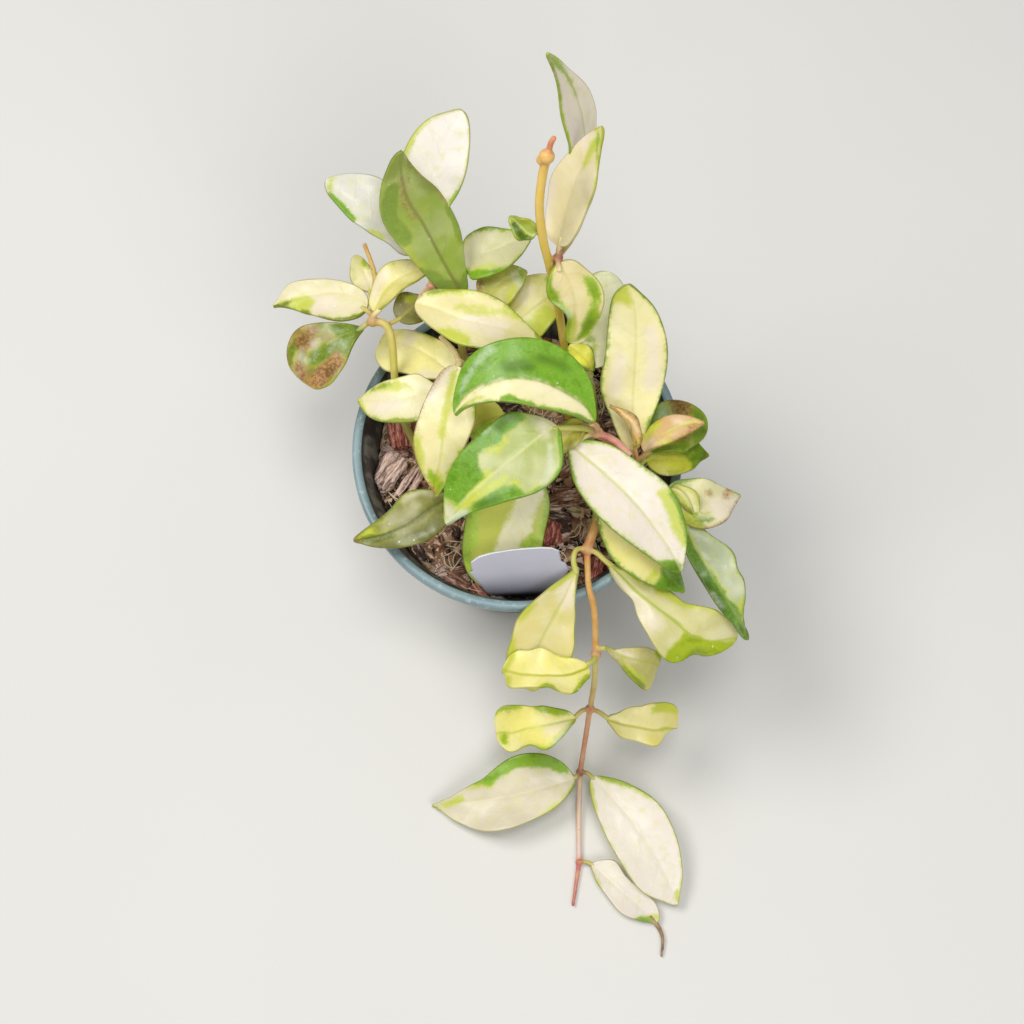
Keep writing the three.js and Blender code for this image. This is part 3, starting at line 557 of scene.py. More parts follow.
# Painted shade: the strip darkens from 93.5 mm down to 74 mm, where its steep lower part lies in shadow.
sheet = blend(tree, rise(tree, height, 74 * MM, 93.5 * MM), colour(72, 73, 82), clean)
ends = add(tree, "SeparateXYZ", {"Vector": add(tree, "TexCoord").outputs["UV"]})
sheet = blend(tree, rise(tree, ends.outputs["Y"], 0.984, 0.99), sheet, colour(244, 244, 248))
specks = rise(tree, grain(tree, spot, 900, 2), 0.66, 0.74, 0, 0.35)
tree.links.new(blend(tree, specks, sheet, colour(168, 160, 158)), shader.inputs["Base Color"])
tree.links.new(bumps(tree, haze, 0.35, 0.4), shader.inputs["Normal"])
label = piece("plant_label_strip", mesh_of(label_form, "label_strip"), [card], "plant_label")
thick = label.modifiers.new("thickness", "SOLIDIFY")
thick.thickness, thick.offset = LABEL_THICKNESS * MM, 0
keep_result(label)

# ------------------------------------------------------------------------------------------------
# The trailing vine: the oldest stem, amber and corky, which climbs out of the mix and hangs over
# the lip to the table, where its last joints lie along the surface. Its leaves grow in pairs at
# swollen joints, and each is a thick waxy blade on a short stalk.
CREAM, BUTTER, LEAF_GREEN, LIME = (238, 230, 168), (236, 228, 136), (114, 160, 36), (182, 198, 40)
AMBER, TANNED, GOLD, FRESH = (206, 152, 74), (196, 152, 98), (240, 218, 70), (192, 196, 92)
PINK, ROSE = (206, 132, 120), (196, 84, 84)
LEAF_THICKNESS, STEM_VOXEL = 1, 0.34


def leaf_finish(name, under=False):
    """The waxy skin of a leaf. Its upper face carries the painted markings in full, the paler
    underside only their shadow."""
    finish, tree, shader = new_finish(
        name, Subsurface_Weight=0.16, Subsurface_Radius=(1.0, 0.85, 0.35), Subsurface_Scale=1.5 * MM,
        Coat_Weight=0.1, Coat_Roughness=0.2, Specular_IOR_Level=0.32)
    spot = add(tree, "TexCoord").outputs["Object"]
    sheet = add(tree, "SeparateXYZ", {"Vector": add(tree, "TexCoord").outputs["UV"]})
    cells, fine = grain(tree, spot, 300, 3), grain(tree, spot, 1100, 2)
    broad = grain(tree, spot, 80, 2)
    wander = sums(tree, "ADD", sums(tree, "MULTIPLY_ADD", cells, 2.6, -1.3),
                  sums(tree, "MULTIPLY_ADD", fine, 1.2, -0.6))

    def painted(mark, soft, most):
        """How much of one paint shows, by how deep a place lies in it, with a wandering edge."""
        reach = add(tree, "Attribute", attribute_name=mark).outputs["Fac"]
        return rise(tree, sums(tree, "ADD", wander, reach), -soft, soft, 0, most)

    def tinted(mark):
        return add(tree, "Attribute", attribute_name=mark).outputs["Color"]

    # The cream ground, mottled, with the markings laid over it from the palest to the darkest.
    ground = blend(tree, rise(tree, broad, 0.42, 0.7, 0, 0.3), tinted("ground"),
                   colour(246, 240, 214))
    ground = blend(tree, rise(tree, cells, 0.48, 0.75, 0, 0.3), ground, colour(216, 214, 108))
    leafgreen = blend(tree, rise(tree, fine, 0.42, 0.7, 0, 0.25), tinted("leafgreen"),
                      colour(164, 196, 70))
    leafgreen = blend(tree, rise(tree, cells, 0.5, 0.34, 0, 0.5), leafgreen,
                      (0.5, 0.6, 0.45, 1), "MULTIPLY")
    skin = blend(tree, painted("pale", 2, 0.65), ground, colour(240, 226, 212))
    limes = sums(tree, "MAXIMUM", painted("green", 2.2, 0.7), painted("lime", 1.1, 0.88))
    skin = blend(tree, limes, skin, blend(tree, cells, colour(*LIME), colour(206, 208, 78)))
    skin = blend(tree, painted("green", 0.75, 0.97), skin, leafgreen)
    skin = blend(tree, painted("blush", 1.3, 0.8), skin,
                 blend(tree, rise(tree, fine, 0.4, 0.6), colour(190, 138, 84), colour(142, 88, 66)))
    skin = blend(tree, painted("deep", 1.6, 0.8), skin, (0.42, 0.46, 0.2, 1), "MULTIPLY")

    # The midrib, and the side veins that fork off it and fade towards the margin.
    across = add(tree, "Attribute", attribute_name="across").outputs["Fac"]
    off_rib = sums(tree, "ABSOLUTE", across)
    rib = add(tree, "Attribute", attribute_name="rib").outputs["Fac"]
    midrib = sums(tree, "MULTIPLY", rise(tree, off_rib, 0.15, 0.8, 1, 0), rib)
    slant = sums(tree, "MULTIPLY_ADD", off_rib, -0.12,
                 sums(tree, "MULTIPLY", sheet.outputs["X"], 7.5))
    slant = sums(tree, "MULTIPLY_ADD", cells, 0.8, slant)
    vein = sums(tree, "ABSOLUTE", sums(tree, "SUBTRACT", sums(tree, "FRACT", slant), 0.5))
    vein = sums(tree, "MULTIPLY", rise(tree, vein, 0.36, 0.5), rise(tree, off_rib, 2, 9, 1, 0.2))
    skin = blend(tree, sums(tree, "MULTIPLY", vein, 0.06), skin, colour(170, 180, 60))
    skin = blend(tree, midrib, skin, tinted("ribtone"))

    # A thin dark margin, chalky scars that on some leaves are painted gloss highlights, and a scatter of
    # dust.
    margin = add(tree, "Attribute", attribute_name="margin").outputs["Fac"]
    skin = blend(tree, rise(tree, margin, 0.1, 0.5, 0.45, 0), skin, colour(122, 122, 40))
    chalk = painted("chalk", 1.3, 0.42)
    skin = blend(tree, chalk, skin, colour(226, 232, 222))
    dust = add(tree, "TexVoronoi", {"Vector": spot, "Scale": 240}).outputs["Distance"]
    dust = sums(tree, "MULTIPLY", rise(tree, dust, 0.06, 0.11, 0.5, 0), rise(tree, broad, 0.5, 0.62))
    skin = blend(tree, dust, skin, colour(240, 242, 232))
    if under:
        skin = blend(tree, 0.4, skin, colour(178, 190, 104))
    tree.links.new(skin, shader.inputs["Base Color"])

    wax = rise(tree, cells, 0.3, 0.7, 0.3, 0.42)
    tree.links.new(sums(tree, "MULTIPLY_ADD", chalk, 0.2, wax), shader.inputs["Roughness"])
    relief = bumps(tree, cells, 0.4, 0.4)
    relief = bumps(tree, vein, 0.1, 0.35, relief)
    tree.links.new(bumps(tree, fine, 0.06, 0.5, relief), shader.inputs["Normal"])
    return finish


leaf_skins = [leaf_finish("hoya_leaf_face"), leaf_finish("hoya_leaf_underside", under=True)]

# What can lie on the cream ground, from the palest to the darkest, and the chalky scars, partly painted
# highlights.
PAINTS = ("pale", "lime", "green", "blush", "deep", "chalk")


def inside(place, ring):
    """How deep a place lies inside a ring of corners, or how far outside as a negative number."""
    x, y = place
    within, gap = False, 99.0
    for (x0, y0), (x1, y1) in zip(ring, ring[1:] + ring[:1]):
        if (y0 > y) != (y1 > y) and x < x0 + (y - y0) / (y1 - y0) * (x1 - x0):
            within = not within
        gap = min(gap, off_line(place, [(x0, y0), (x1, y1)]))
    return gap if within else -gap


def off_line(place, line):
    """The distance from a place to a line of one or more points."""
    x, y = place
    gap = 99.0
    for (x0, y0), (x1, y1) in zip(line, line[1:] or line):
        run_x, run_y = x1 - x0, y1 - y0
        span = run_x * run_x + run_y * run_y
        f = min(max(((x - x0) * run_x + (y - y0) * run_y) / span, 0), 1) if span else 0
        gap = min(gap, math.hypot(x - x0 - f * run_x, y - y0 - f * run_y))
    return gap


def leaf(node, name, base, tip, width, *, ground, rib, arch=2, bend=0, roll=0, cup=0.12, wave=0.8,
         waves=2, point=0.85, right=None, left=None, leafgreen=LEAF_GREEN, vein=(172, 184, 48),
         lean=(0, 0), rims=(), bites=(), **paint):
    """One blade from its base to its tip, in millimetres.

    arch, bend and roll are how high it arches, how far it bows to its right and how far it is
    rolled about its length. cup lifts its sides, and wave and waves ripple them. right and left
    are its half widths at 0.05, 0.2, 0.4, 0.6, 0.8 and 0.95 of the way, where the plain leaf
    outline isn't the real one. ground, leafgreen and vein are its own tints, rib is how plain its
    midrib is, and lean is where that runs across the blade, from base to tip.

    The rest is its markings. Each paint has a list of strokes, (brush radius in mm, along, across,
    along, across ...), in hundredths: along from 0 at the base to 100 at the tip, across from -100
    at the left margin to 100 at the right. With a radius of 0 the places are the corners of a
    filled patch. rims is bands along a margin, (paint, side, widths in mm from base to tip), and
    bites is dents in it, (side, along, depth in mm, reach along).
    """
    base, tip = Vector(base), Vector(tip)
    length = (tip - base).length
    ahead = (tip - base).normalized()
    level = ahead.cross(Vector((0, 0, 1))).normalized()
    side = Quaternion(ahead, math.radians(-roll)) @ level
    up = side.cross(ahead)

    # The plain outline: how blunt it is at the base, and the width that its two ends keep.
    blunt, end_width = 0.55, 0.4
    widest = blunt / (blunt + point)
    top = widest ** blunt * (1 - widest) ** point
    seed = base * 1.7
    rows, columns = max(18, round(length)), max(12, round(width) // 2 * 2)

    def ripple(s, t):
        """How far round its wave the margin is, at s of the length and t of the width."""
        return math.tau * waves * s + (1.3 if t < 0 else 0)

    def fade(s):
        """One over most of the blade and nothing at its two ends."""
        return math.sqrt(max(math.sin(math.pi * s), 0))

    def half_width(s, t):
        cut = right if t > 0 else left
        bitten = sum(depth * math.exp(-((s - at / 100) / (reach / 100)) ** 2)
                     for at_side, at, depth, reach in bites if (at_side == "right") == (t > 0))
        if cut:
            place = math.acos(1 - 2 * s) / math.pi
            return max(along_line((end_width, *cut, end_width), place) - bitten, end_width)
        full = max(s, 1e-6) ** blunt * max(1 - s, 1e-6) ** point / top
        scallop = 1 + 0.6 * wave / width * math.cos(ripple(s, t)) * fade(s)
        return max(width / 2 * full * scallop - bitten, end_width)

    form = bmesh.new()
    form.loops.layers.uv.new("blade")
    layers = {mark: form.verts.layers.float.new(mark)
              for mark in (*PAINTS, "across", "margin", "rib")}
    tints = {mark: form.verts.layers.float_color.new(mark)
             for mark in ("ground", "leafgreen", "ribtone")}
    bmesh.ops.create_grid(form, x_segments=rows, y_segments=columns, size=1, calc_uvs=True)
    for corner in form.verts:
        row, t = (corner.co.x + 1) / 2, -corner.co.y
        s = row - 0.6 * math.sin(math.tau * row) / math.tau
        half = half_width(s, t)
        middle = (base + ahead * length * s + up * arch * s * (3.2 - 1.6 * s - 1.6 * s * s)
                  + side * bend * 4 * s * (1 - s))
        run = (ahead * length + up * arch * (3.2 - 3.2 * s - 4.8 * s * s)
               + side * bend * (4 - 8 * s)).normalized()
        across = (side - run * side.dot(run)).normalized()
        normal = across.cross(run)
        place = Vector((s * length, t * half, 0)) + seed
        off_rib = (t - along_line(lean, s)) * half
        lift = wave * math.sin(ripple(s, t)) * abs(t) ** 1.6
        lift -= 0.32 * math.exp(-((off_rib / 0.7) ** 2))
        lift += 0.34 * noise.noise(place / 6.5) + 0.1 * noise.noise(place / 2.4)
        lift = cup * half * t * t + lift * fade(s)
        corner.co = (middle + across * half * t + normal * lift) * MM
        here = (s * length, t * half)
        reached = {kind: -4.0 for kind in PAINTS}
        for kind, strokes in paint.items():
            for radius, *points in strokes:
                line = [(x / 100 * length, y / 100 * half)
                        for x, y in zip(points[::2], points[1::2])]
                depth = radius - off_line(here, line) if radius else inside(here, line)
                reached[kind] = max(reached[kind], depth)
        for kind, at_side, widths in rims:
            band = along_line(widths, s)
            if (t > 0) == (at_side == "right") and band > 0:
                reached[kind] = max(reached[kind], band - half * (1 - abs(t)))
        for kind in PAINTS:
            corner[layers[kind]] = reached[kind]
        corner[layers["across"]] = off_rib
        corner[layers["margin"]] = min(half * (1 - abs(t)), length * (1 - s), 9)
        corner[layers["rib"]] = rib * (1 - 0.5 * s)
        for mark, tone in (("ground", ground), ("leafgreen", leafgreen), ("ribtone", vein)):
            corner[tints[mark]] = colour(*tone)
    made = piece(name, mesh_of(form, name), leaf_skins, node)
    thick = made.modifiers.new("thickness", "SOLIDIFY")
    thick.thickness, thick.offset, thick.material_offset = LEAF_THICKNESS * MM, 0, 1
    soft = made.modifiers.new("soft_edge", "SUBSURF")
    soft.levels = soft.render_levels = 1
    keep_result(made)


# The rind of the stems: clouded, with corky brown spots.
stem_skin, tree, shader = new_finish("hoya_stem", Subsurface_Weight=0.12, Subsurface_Scale=1.5 * MM)
spot = add(tree, "TexCoord").outputs["Object"]
tint = add(tree, "Attribute", attribute_name="tint").outputs["Color"]
cloud, fine = grain(tree, spot, 260, 4), grain(tree, spot, 1200, 3)
corky = add(tree, "TexVoronoi", {"Vector": spot, "Scale": 420}).outputs["Distance"]
spots = sums(tree, "MULTIPLY", rise(tree, corky, 0.1, 0.2, 0.6, 0), rise(tree, cloud, 0.54, 0.62))
rind = blend(tree, rise(tree, cloud, 0.35, 0.65, 0, 0.35), tint, colour(236, 206, 150))
rind = blend(tree, spots, rind, colour(96, 60, 44))
tree.links.new(rind, shader.inputs["Base Color"])
tree.links.new(rise(tree, fine, 0.3, 0.7, 0.38, 0.55), shader.inputs["Roughness"])
relief = bumps(tree, cloud, 0.3, 0.5)
tree.links.new(bumps(tree, fine, 0.08, 0.5, relief), shader.inputs["Normal"])


def stem(node, name, shoots, joints):
    """A stem with its stalks, grown together. shoots is (points, thickness at the start, at the
    end, colour at the start, at the end); joints is swollen places (x, y, z, radius, colour)."""
    form = bmesh.new()
    marks = []
    for points, start, end, first, last in shoots:
        places = smooth_path(points, 48)
        steps = max(10, round(sum((b - a).length for a, b in zip(places, places[1:])) / 1.1))
        strand(form, points, lambda share, a=start, b=end: a + (b - a) * share, steps, 12)
        for i, at in enumerate(smooth_path(points, steps)):
            share = i / steps
            marks.append((at, [a + (b - a) * share for a, b in zip(colour(*first), colour(*last))]))
    for x, y, z, radius, _ in joints:
        bmesh.ops.create_icosphere(form, subdivisions=2, radius=radius * MM,
                                   matrix=Matrix.Translation(Vector((x, y, z)) * MM))
    bmesh.ops.holes_fill(form, edges=[e for e in form.edges if e.is_boundary])
    bmesh.ops.recalc_face_normals(form, faces=form.faces)
    made = piece(name, mesh_of(form, name), [stem_skin], node)
    grown = made.modifiers.new("grown_together", "REMESH")
    grown.mode, grown.voxel_size, grown.use_smooth_shade = "VOXEL", STEM_VOXEL * MM, True
    eased = made.modifiers.new("eased", "SMOOTH")
    eased.factor, eased.iterations = 0.5, 3
    shape = keep_result(made)
    near = KDTree(len(marks))
    for i, (at, _) in enumerate(marks):
        near.insert(at, i)
    near.balance()
    tints = shape.color_attributes.new("tint", "FLOAT_COLOR", "POINT")
    for i, corner in enumerate(shape.vertices):
        at = corner.co / MM
        _, index, _ = near.find(at)
        here = marks[index][1]
        for x, y, z, radius, tinted in joints:
            near_joint = math.exp(-((at - Vector((x, y, z))).length / (radius * 1.25)) ** 2)
            here = [a + (b - a) * near_joint for a, b in zip(here, colour(*tinted))]
        tints.data[i].color = here


VINE = "trailing_stem"
lip_joint = (22, -36, 91)
upper_joint = (25.3, -66, 71)
middle_joint = (24.4, -78.6, 42)
low_joint = (22, -95.4, 11)
end_joint = (21.7, -125.6, 1.6)
stem(VINE, "vine", [
    ([(26, -11, 58), (26, -11, 72), (25.8, -18, 86), (25, -27, 91.5), lip_joint], 3, 3.2, AMBER, AMBER),
    ([lip_joint, (22.5, -46.5, 86.8), (24.5, -54, 81.5), upper_joint], 2.1, 2.2, AMBER, AMBER),
    ([upper_joint, (25.2, -73, 57), middle_joint], 2.1, 2, FRESH, TANNED),
    ([middle_joint, (23.4, -86, 26), low_joint], 2, 1.9, (208, 150, 112), (196, 130, 112)),
    ([low_joint, (21.8, -104, 5), (21.7, -114, 2.2), end_joint],
     1.9, 1.9, (216, 184, 160), (226, 198, 188)),
    ([end_joint, (20.6, -133, 1.4), (19.4, -140.7, 1.3)], 1.7, 1.2, (204, 112, 112), (176, 76, 88)),
    ([lip_joint, (18.6, -36.5, 92.5), (17.6, -40, 92.6), (18.6, -44, 91)], 1.7, 2, FRESH, FRESH),
    ([lip_joint, (25, -37.5, 92), (28.5, -40.5, 91.3), (31.5, -42.5, 90.6)], 1.8, 1.9, FRESH, FRESH),
    ([(25, -26, 92), (24.5, -24, 97), (25.6, -25, 101), (28, -27.5, 101.6)], 1.8, 1.9, FRESH, FRESH),
    ([upper_joint, (24.4, -68.5, 74), (22, -70.2, 76)], 1.7, 1.9, FRESH, FRESH),
    ([upper_joint, (26.6, -64.6, 74), (29, -64.8, 75.6)], 1.6, 1.7, TANNED, FRESH),
    ([middle_joint, (21.6, -79.6, 44.4), (18.6, -82.6, 44.6)], 1.6, 1.8, TANNED, FRESH),
    ([middle_joint, (27.4, -80, 44.2), (31, -82.6, 43.6)], 1.6, 1.8, TANNED, FRESH),
    ([low_joint, (20.8, -97, 12.6), (18.6, -98.4, 12.6)], 1.5, 1.8, (130, 84, 60), FRESH),
    ([low_joint, (24.4, -96, 12.6), (27, -98.2, 11.8)], 1.5, 1.8, (120, 74, 60), FRESH),
    ([(21.7, -125.6, 1.8), (24, -125.6, 3.2), (27, -127, 3.5)], 1.4, 1.6, TANNED, FRESH),
    ([(46, -144, 3), (49, -148, 2.2), (50.4, -152, 1.7), (49.8, -158, 1.2)],
     1.9, 0.9, (150, 120, 80), (92, 58, 44)),
], [(*lip_joint, 2.1, ROSE), (*upper_joint, 1.9, PINK), (*middle_joint, 1.8, ROSE),
    (*low_joint, 1.6, (140, 60, 56)), (21.7, -125.6, 1.8, 1.4, (200, 92, 96))])

leaf(VINE, "vine_leaf_front_left", (19, -42, 92), (3, -73, 50), 20.5, arch=9, bend=1.5, roll=14, wave=1.2,
     right=(1.8, 6.9, 11.3, 10.5, 8, 4), left=(1.2, 4.1, 9, 9, 6, 3),
     ground=(224, 212, 142), rib=0.4, lean=(-0.1, 0.05, 0.15, 0.2, 0.1),
     pale=[(0, -5, -120, -5, 80, 16, 50, 24, -10, 20, -120)],
     lime=[(1.4, 5, 95, 14, 92), (1.6, 28, 97, 36, 95), (1.8, 52, 100, 70, 95), (1.8, 90, 40, 95, -30)],
     rims=[("lime", "left", (0, 0.3, 0.3, 0.6, 0.8))],
     bites=[("left", 34, 0.9, 6), ("left", 62, -0.8, 7), ("right", 50, 0.5, 6), ("left", 85, 0.8, 5)])
leaf(VINE, "vine_leaf_front_right", (29, -41, 91), (70, -62, 80), 20, arch=5, bend=5, roll=-10, wave=1.6,
     waves=2.5,
     right=(1.5, 3, 7.4, 13.5, 8, 3.6), left=(1.5, 4.5, 6.5, 6.8, 7.5, 4.5),
     ground=(210, 204, 142), leafgreen=(164, 180, 22), rib=1, vein=(160, 178, 34),
     lean=(-0.25, -0.05, 0, 0.12, 0.38, 0.2),
     pale=[(0, 5, 10, 5, 90, 45, 85, 50, 30, 30, 10)],
     green=[(0, 56, 130, 60, 60, 64, 20, 80, 34, 97, 50, 100, 130),
            (0, 6, -130, 10, -85, 20, -62, 34, -76, 46, -95, 50, -130)],
     deep=[(1.2, 72, 92, 80, 90)],
     rims=[("lime", "left", (0, 1.5, 2.6, 1.6, 0.4, 0)), ("lime", "right", (0, 0, 0, 0.6, 1.4))],
     bites=[("right", 26, 1.6, 6), ("right", 74, 2.2, 4.5), ("left", 55, 0.8, 8), ("left", 85, 0.8, 5)])
leaf(VINE, "vine_leaf_tucked", (26, -26, 102), (52, -51, 95), 17, arch=4, bend=1,
     right=(3, 6.4, 8.9, 8, 4.8, 1.6), left=(4, 7, 8.5, 7.3, 4.6, 1.7),
     ground=(226, 218, 140), leafgreen=(96, 144, 20), rib=0.2,
     lime=[(1.2, 70, 90, 70, 30)],
     green=[(0, 74, 130, 76, 30, 70, -10, 66, -130, 96, -130, 105, 0, 95, 130)],
     deep=[(1.6, 86, 20, 92, -60)],
     rims=[("green", "right", (0.5, 0.8, 0.4, 0.5))])
leaf(VINE, "vine_leaf_second_left", (22.5, -71, 77), (-5, -72, 73), 14.5, arch=4, bend=-4, roll=-20, wave=1,
     waves=2.5,
     right=(2.6, 4.8, 7.5, 9, 8.2, 5.3), left=(4.5, 8, 7.5, 5, 6.1, 1),
     ground=(238, 228, 136), leafgreen=(150, 172, 30), rib=1, vein=(180, 182, 26),
     lean=(-0.2, -0.18, -0.15, -0.1, 0.12),
     lime=[(0, 86, 130, 90, 30, 92, -20, 82, -70, 80, -130, 110, 0), (0.9, 20, 100, 32, 100)],
     green=[(0, 2, -130, 5, -75, 14, -66, 24, -90, 28, -130), (0.9, 42, -100, 50, -100)],
     bites=[("left", 12, 1.3, 6), ("left", 30, -0.8, 5), ("left", 45, 1.3, 4), ("right", 75, 0.5, 8)])
leaf(VINE, "vine_leaf_second_right", (28, -64.5, 76), (45, -70.5, 66), 13,
     right=(0.8, 2.9, 5, 7.2, 7.8, 6.6), left=(0.8, 1.4, 3.2, 5.3, 6.4, 5.2),
     ground=(190, 182, 112), leafgreen=(130, 146, 24), rib=0.7, lean=(0.4, 0.25, 0, -0.2, -0.4),
     pale=[(1, 12, 50, 30, -30, 50, 0)],
     lime=[(1.2, 50, 70, 84, 66)],
     green=[(1.2, 40, 95, 60, 90, 80, 92), (0.7, 84, -90, 92, -80)],
     bites=[("left", 6, 2.2, 10), ("right", 30, 0.8, 8), ("left", 80, 0.6, 6)])
leaf(VINE, "vine_leaf_third_left", (19.5, -82.5, 45), (-7, -86, 35), 17, arch=4, wave=1.4,
     right=(2.6, 4.3, 6.7, 7.4, 8.7, 7), left=(1.9, 6, 9.4, 7, 8.2, 3.5),
     ground=(238, 228, 128), leafgreen=(156, 184, 16), rib=0.7, lean=(-0.05, -0.08, -0.1, -0.15, 0.05),
     pale=[(0, 4, -5, 35, -10, 36, -50, 6, -50)],
     lime=[(0, 80, -10, 94, 0, 95, -70, 82, -70)],
     green=[(0, 6, 130, 8, 62, 20, 50, 36, 56, 44, 80, 48, 130), (0.8, 60, 96, 76, 85, 94, 95),
            (1, 86, -30, 88, -55)],
     chalk=[(0.8, 10, -75, 28, -90)],
     rims=[("lime", "left", (1, 2.4, 1.4, 0.4, 0.3, 0.3)), ("green", "left", (0.2, 0.8, 0.7, 0, 0, 0))],
     bites=[("left", 50, 1.5, 6), ("left", 80, 0.7, 7), ("right", 45, 0.8, 7)])
leaf(VINE, "vine_leaf_third_right", (30, -82.5, 44), (54, -84, 36), 15, arch=3, wave=1.2,
     right=(2.3, 6.2, 6.7, 8.6, 3, 0.3), left=(1.9, 3.8, 5.8, 7, 8, 6.3),
     ground=(228, 216, 124), rib=0.8, vein=(178, 178, 40), lean=(0.2, 0.26, 0.3, 0.3, 0.3),
     lime=[(0, 66, 30, 78, 50, 92, 40, 90, 15, 70, 20), (0, 56, -50, 96, -60, 96, -130, 58, -130)],
     bites=[("left", 42, 0.9, 5), ("left", 12, 0.7, 6), ("right", 55, 0.5, 6)])
leaf(VINE, "vine_leaf_low_left", (20, -98, 13), (-30, -106, 3), 23, arch=3, bend=-2,
     right=(7, 12, 13, 7.7, 3.8, 1), left=(4, 8.2, 10.6, 11.5, 7, 1.6),
     ground=(216, 206, 178), leafgreen=(132, 176, 16), rib=0.12, vein=(226, 214, 160),
     lime=[(0.9, 54, 60, 66, 80, 72, 100), (0, 78, 62, 76, 20, 82, -10, 90, -28, 93, 10, 86, 50),
           (1, 10, -98, 22, -95)],
     green=[(0, 2, 130, 3, 45, 8, 36, 13, 55, 22, 60, 40, 66, 52, 60, 57, 55, 62, 78, 68, 95, 70, 130),
            (0.6, 3, -95, 6, -98)],
     rims=[("lime", "left", (0.4, 0.5, 0, 0, 0, 0.8))],
     bites=[("right", 62, 0.5, 6), ("left", 45, -0.4, 10), ("right", 85, 0.3, 5)])
leaf(VINE, "vine_leaf_low_right", (26, -97.5, 12), (55.5, -140.5, 5), 23.5, arch=3, bend=-3, wave=0.5,
     right=(3.8, 8, 11, 11.8, 10.2, 4), left=(3.2, 7.6, 11.1, 9.8, 6.3, 1.8),
     ground=(238, 228, 214), leafgreen=(140, 170, 40), rib=0.25, vein=(226, 220, 160),
     lime=[(0, 0, 130, 2, 55, 8, 70, 16, 85, 30, 130),
           (0, 2, -130, 2, -50, 12, -64, 24, -80, 40, -98, 40, -130), (1.2, 93, -50, 97, -90)],
     green=[(0, 2, -130, 3, -70, 12, -78, 22, -88, 34, -100, 36, -130)],
     rims=[("lime", "left", (0, 0, 0, 0.4, 0.5, 0.8)), ("lime", "right", (0, 0.3, 0.4, 0.3, 0.3))])
leaf(VINE, "vine_leaf_end", (26, -126.5, 3.6), (48.5, -146.5, 2.6), 12, arch=1.2, wave=0.3,
     right=(1.6, 3.8, 5.2, 6.3, 4, 1.4), left=(3.2, 6.4, 4.8, 4.9, 5, 2.9),
     ground=(230, 220, 208), leafgreen=(128, 164, 44), rib=0.1, vein=(226, 218, 160),
     lime=[(0.8, 10, 100, 22, 95), (0.9, 90, 10, 96, -50)],
     green=[(0, 76, 130, 80, 60, 86, 30, 95, 30, 96, 130)])

# ------------------------------------------------------------------------------------------------
# The upright stem: a golden shoot that has dropped its lower leaves and ends in a swollen joint
# with a pink bud. A dark red side joint carries two tall beige leaves and one that hangs forward.
UPRIGHT = "upright_stem"
side_joint = (12, 38.5, 150)
stem(UPRIGHT, "upright_shoot", [
    ([(17, 17, 58), (17, 17, 74), (15.5, 25, 97), (13, 33, 119), (9.5, 37.5, 145), (7.3, 40.5, 158),
      (6.1, 45.4, 170), (7, 51, 180), (8.3, 53.8, 186)], 2.7, 2.8, GOLD, (236, 196, 88)),
    ([(9.5, 37.5, 143), (12, 38.5, 148.5), (12.5, 39.5, 152)], 1.8, 1.8, (150, 60, 60), (150, 60, 60)),
    ([(8.3, 53.8, 185), (9, 55.4, 189), (10, 56.2, 191.5)], 2, 1.6, PINK, (226, 132, 92)),
    ([side_joint, (13, 41, 147), (16, 46, 145)], 1.6, 1.9, (160, 70, 64), FRESH),
    ([side_joint, (12, 39.5, 152), (13, 42.5, 155)], 1.6, 1.9, (160, 70, 64), CREAM),
    ([(12, 38.5, 149), (12, 37, 149.5), (12.4, 34.6, 148)], 1.6, 1.9, (160, 70, 64), CREAM),
    ([(7.3, 41, 158), (5.5, 42.5, 158.6), (4, 43.2, 159)], 1.4, 1.6, FRESH, LEAF_GREEN),
], [(8, 53.4, 185.4, 2.4, (226, 164, 74)), (12, 38.5, 149.5, 1.6, (150, 58, 58)),
    (6.4, 53, 184, 1.5, (222, 160, 70))])
leaf(UPRIGHT, "tall_leaf_behind", (17, 48, 143), (8, 78, 199), 18, arch=0, bend=12, roll=-45,
     right=(2.5, 5, 8, 6.2, 2.8, 1.2), left=(4, 8, 10.5, 10.5, 5.2, 2),
     ground=(242, 230, 208), leafgreen=(150, 184, 52), rib=0.7, vein=(186, 196, 110),
     lean=(0.1, 0.1, 0.1, 0.12, 0.3),
     pale=[(1.6, 50, -50, 85, -80)],
     lime=[(0.8, 90, 60, 98, 30)],
     green=[(0, 66, 12, 76, 24, 86, 36, 95, 40, 102, 0, 100, -120, 94, -70, 86, -10, 76, 0)],
     rims=[("green", "left", (0, 0, 0.3, 0.6, 0.3, 0.4))])
leaf(UPRIGHT, "tall_leaf_front", (12, 40.5, 153), (24, 65, 181), 19, arch=0, bend=-2.5, roll=35,
     right=(5.4, 8.5, 8.8, 10.5, 5.2, 2.5), left=(4.8, 7.8, 9.2, 7, 4.5, 1.5),
     ground=(226, 212, 166), leafgreen=(150, 178, 50), rib=0.12, vein=(214, 204, 150),
     pale=[(3, 82, -60), (2, 12, -90, 40, -90)],
     lime=[(0, 62, 10, 76, 32, 84, 60, 90, 40, 88, -20, 72, 0), (0.8, 96, -40, 97, -80)],
     green=[(0.5, 80, 92, 88, 60, 94, 30)],
     rims=[("lime", "right", (0, 0, 0, 0.3, 0.8, 1))])
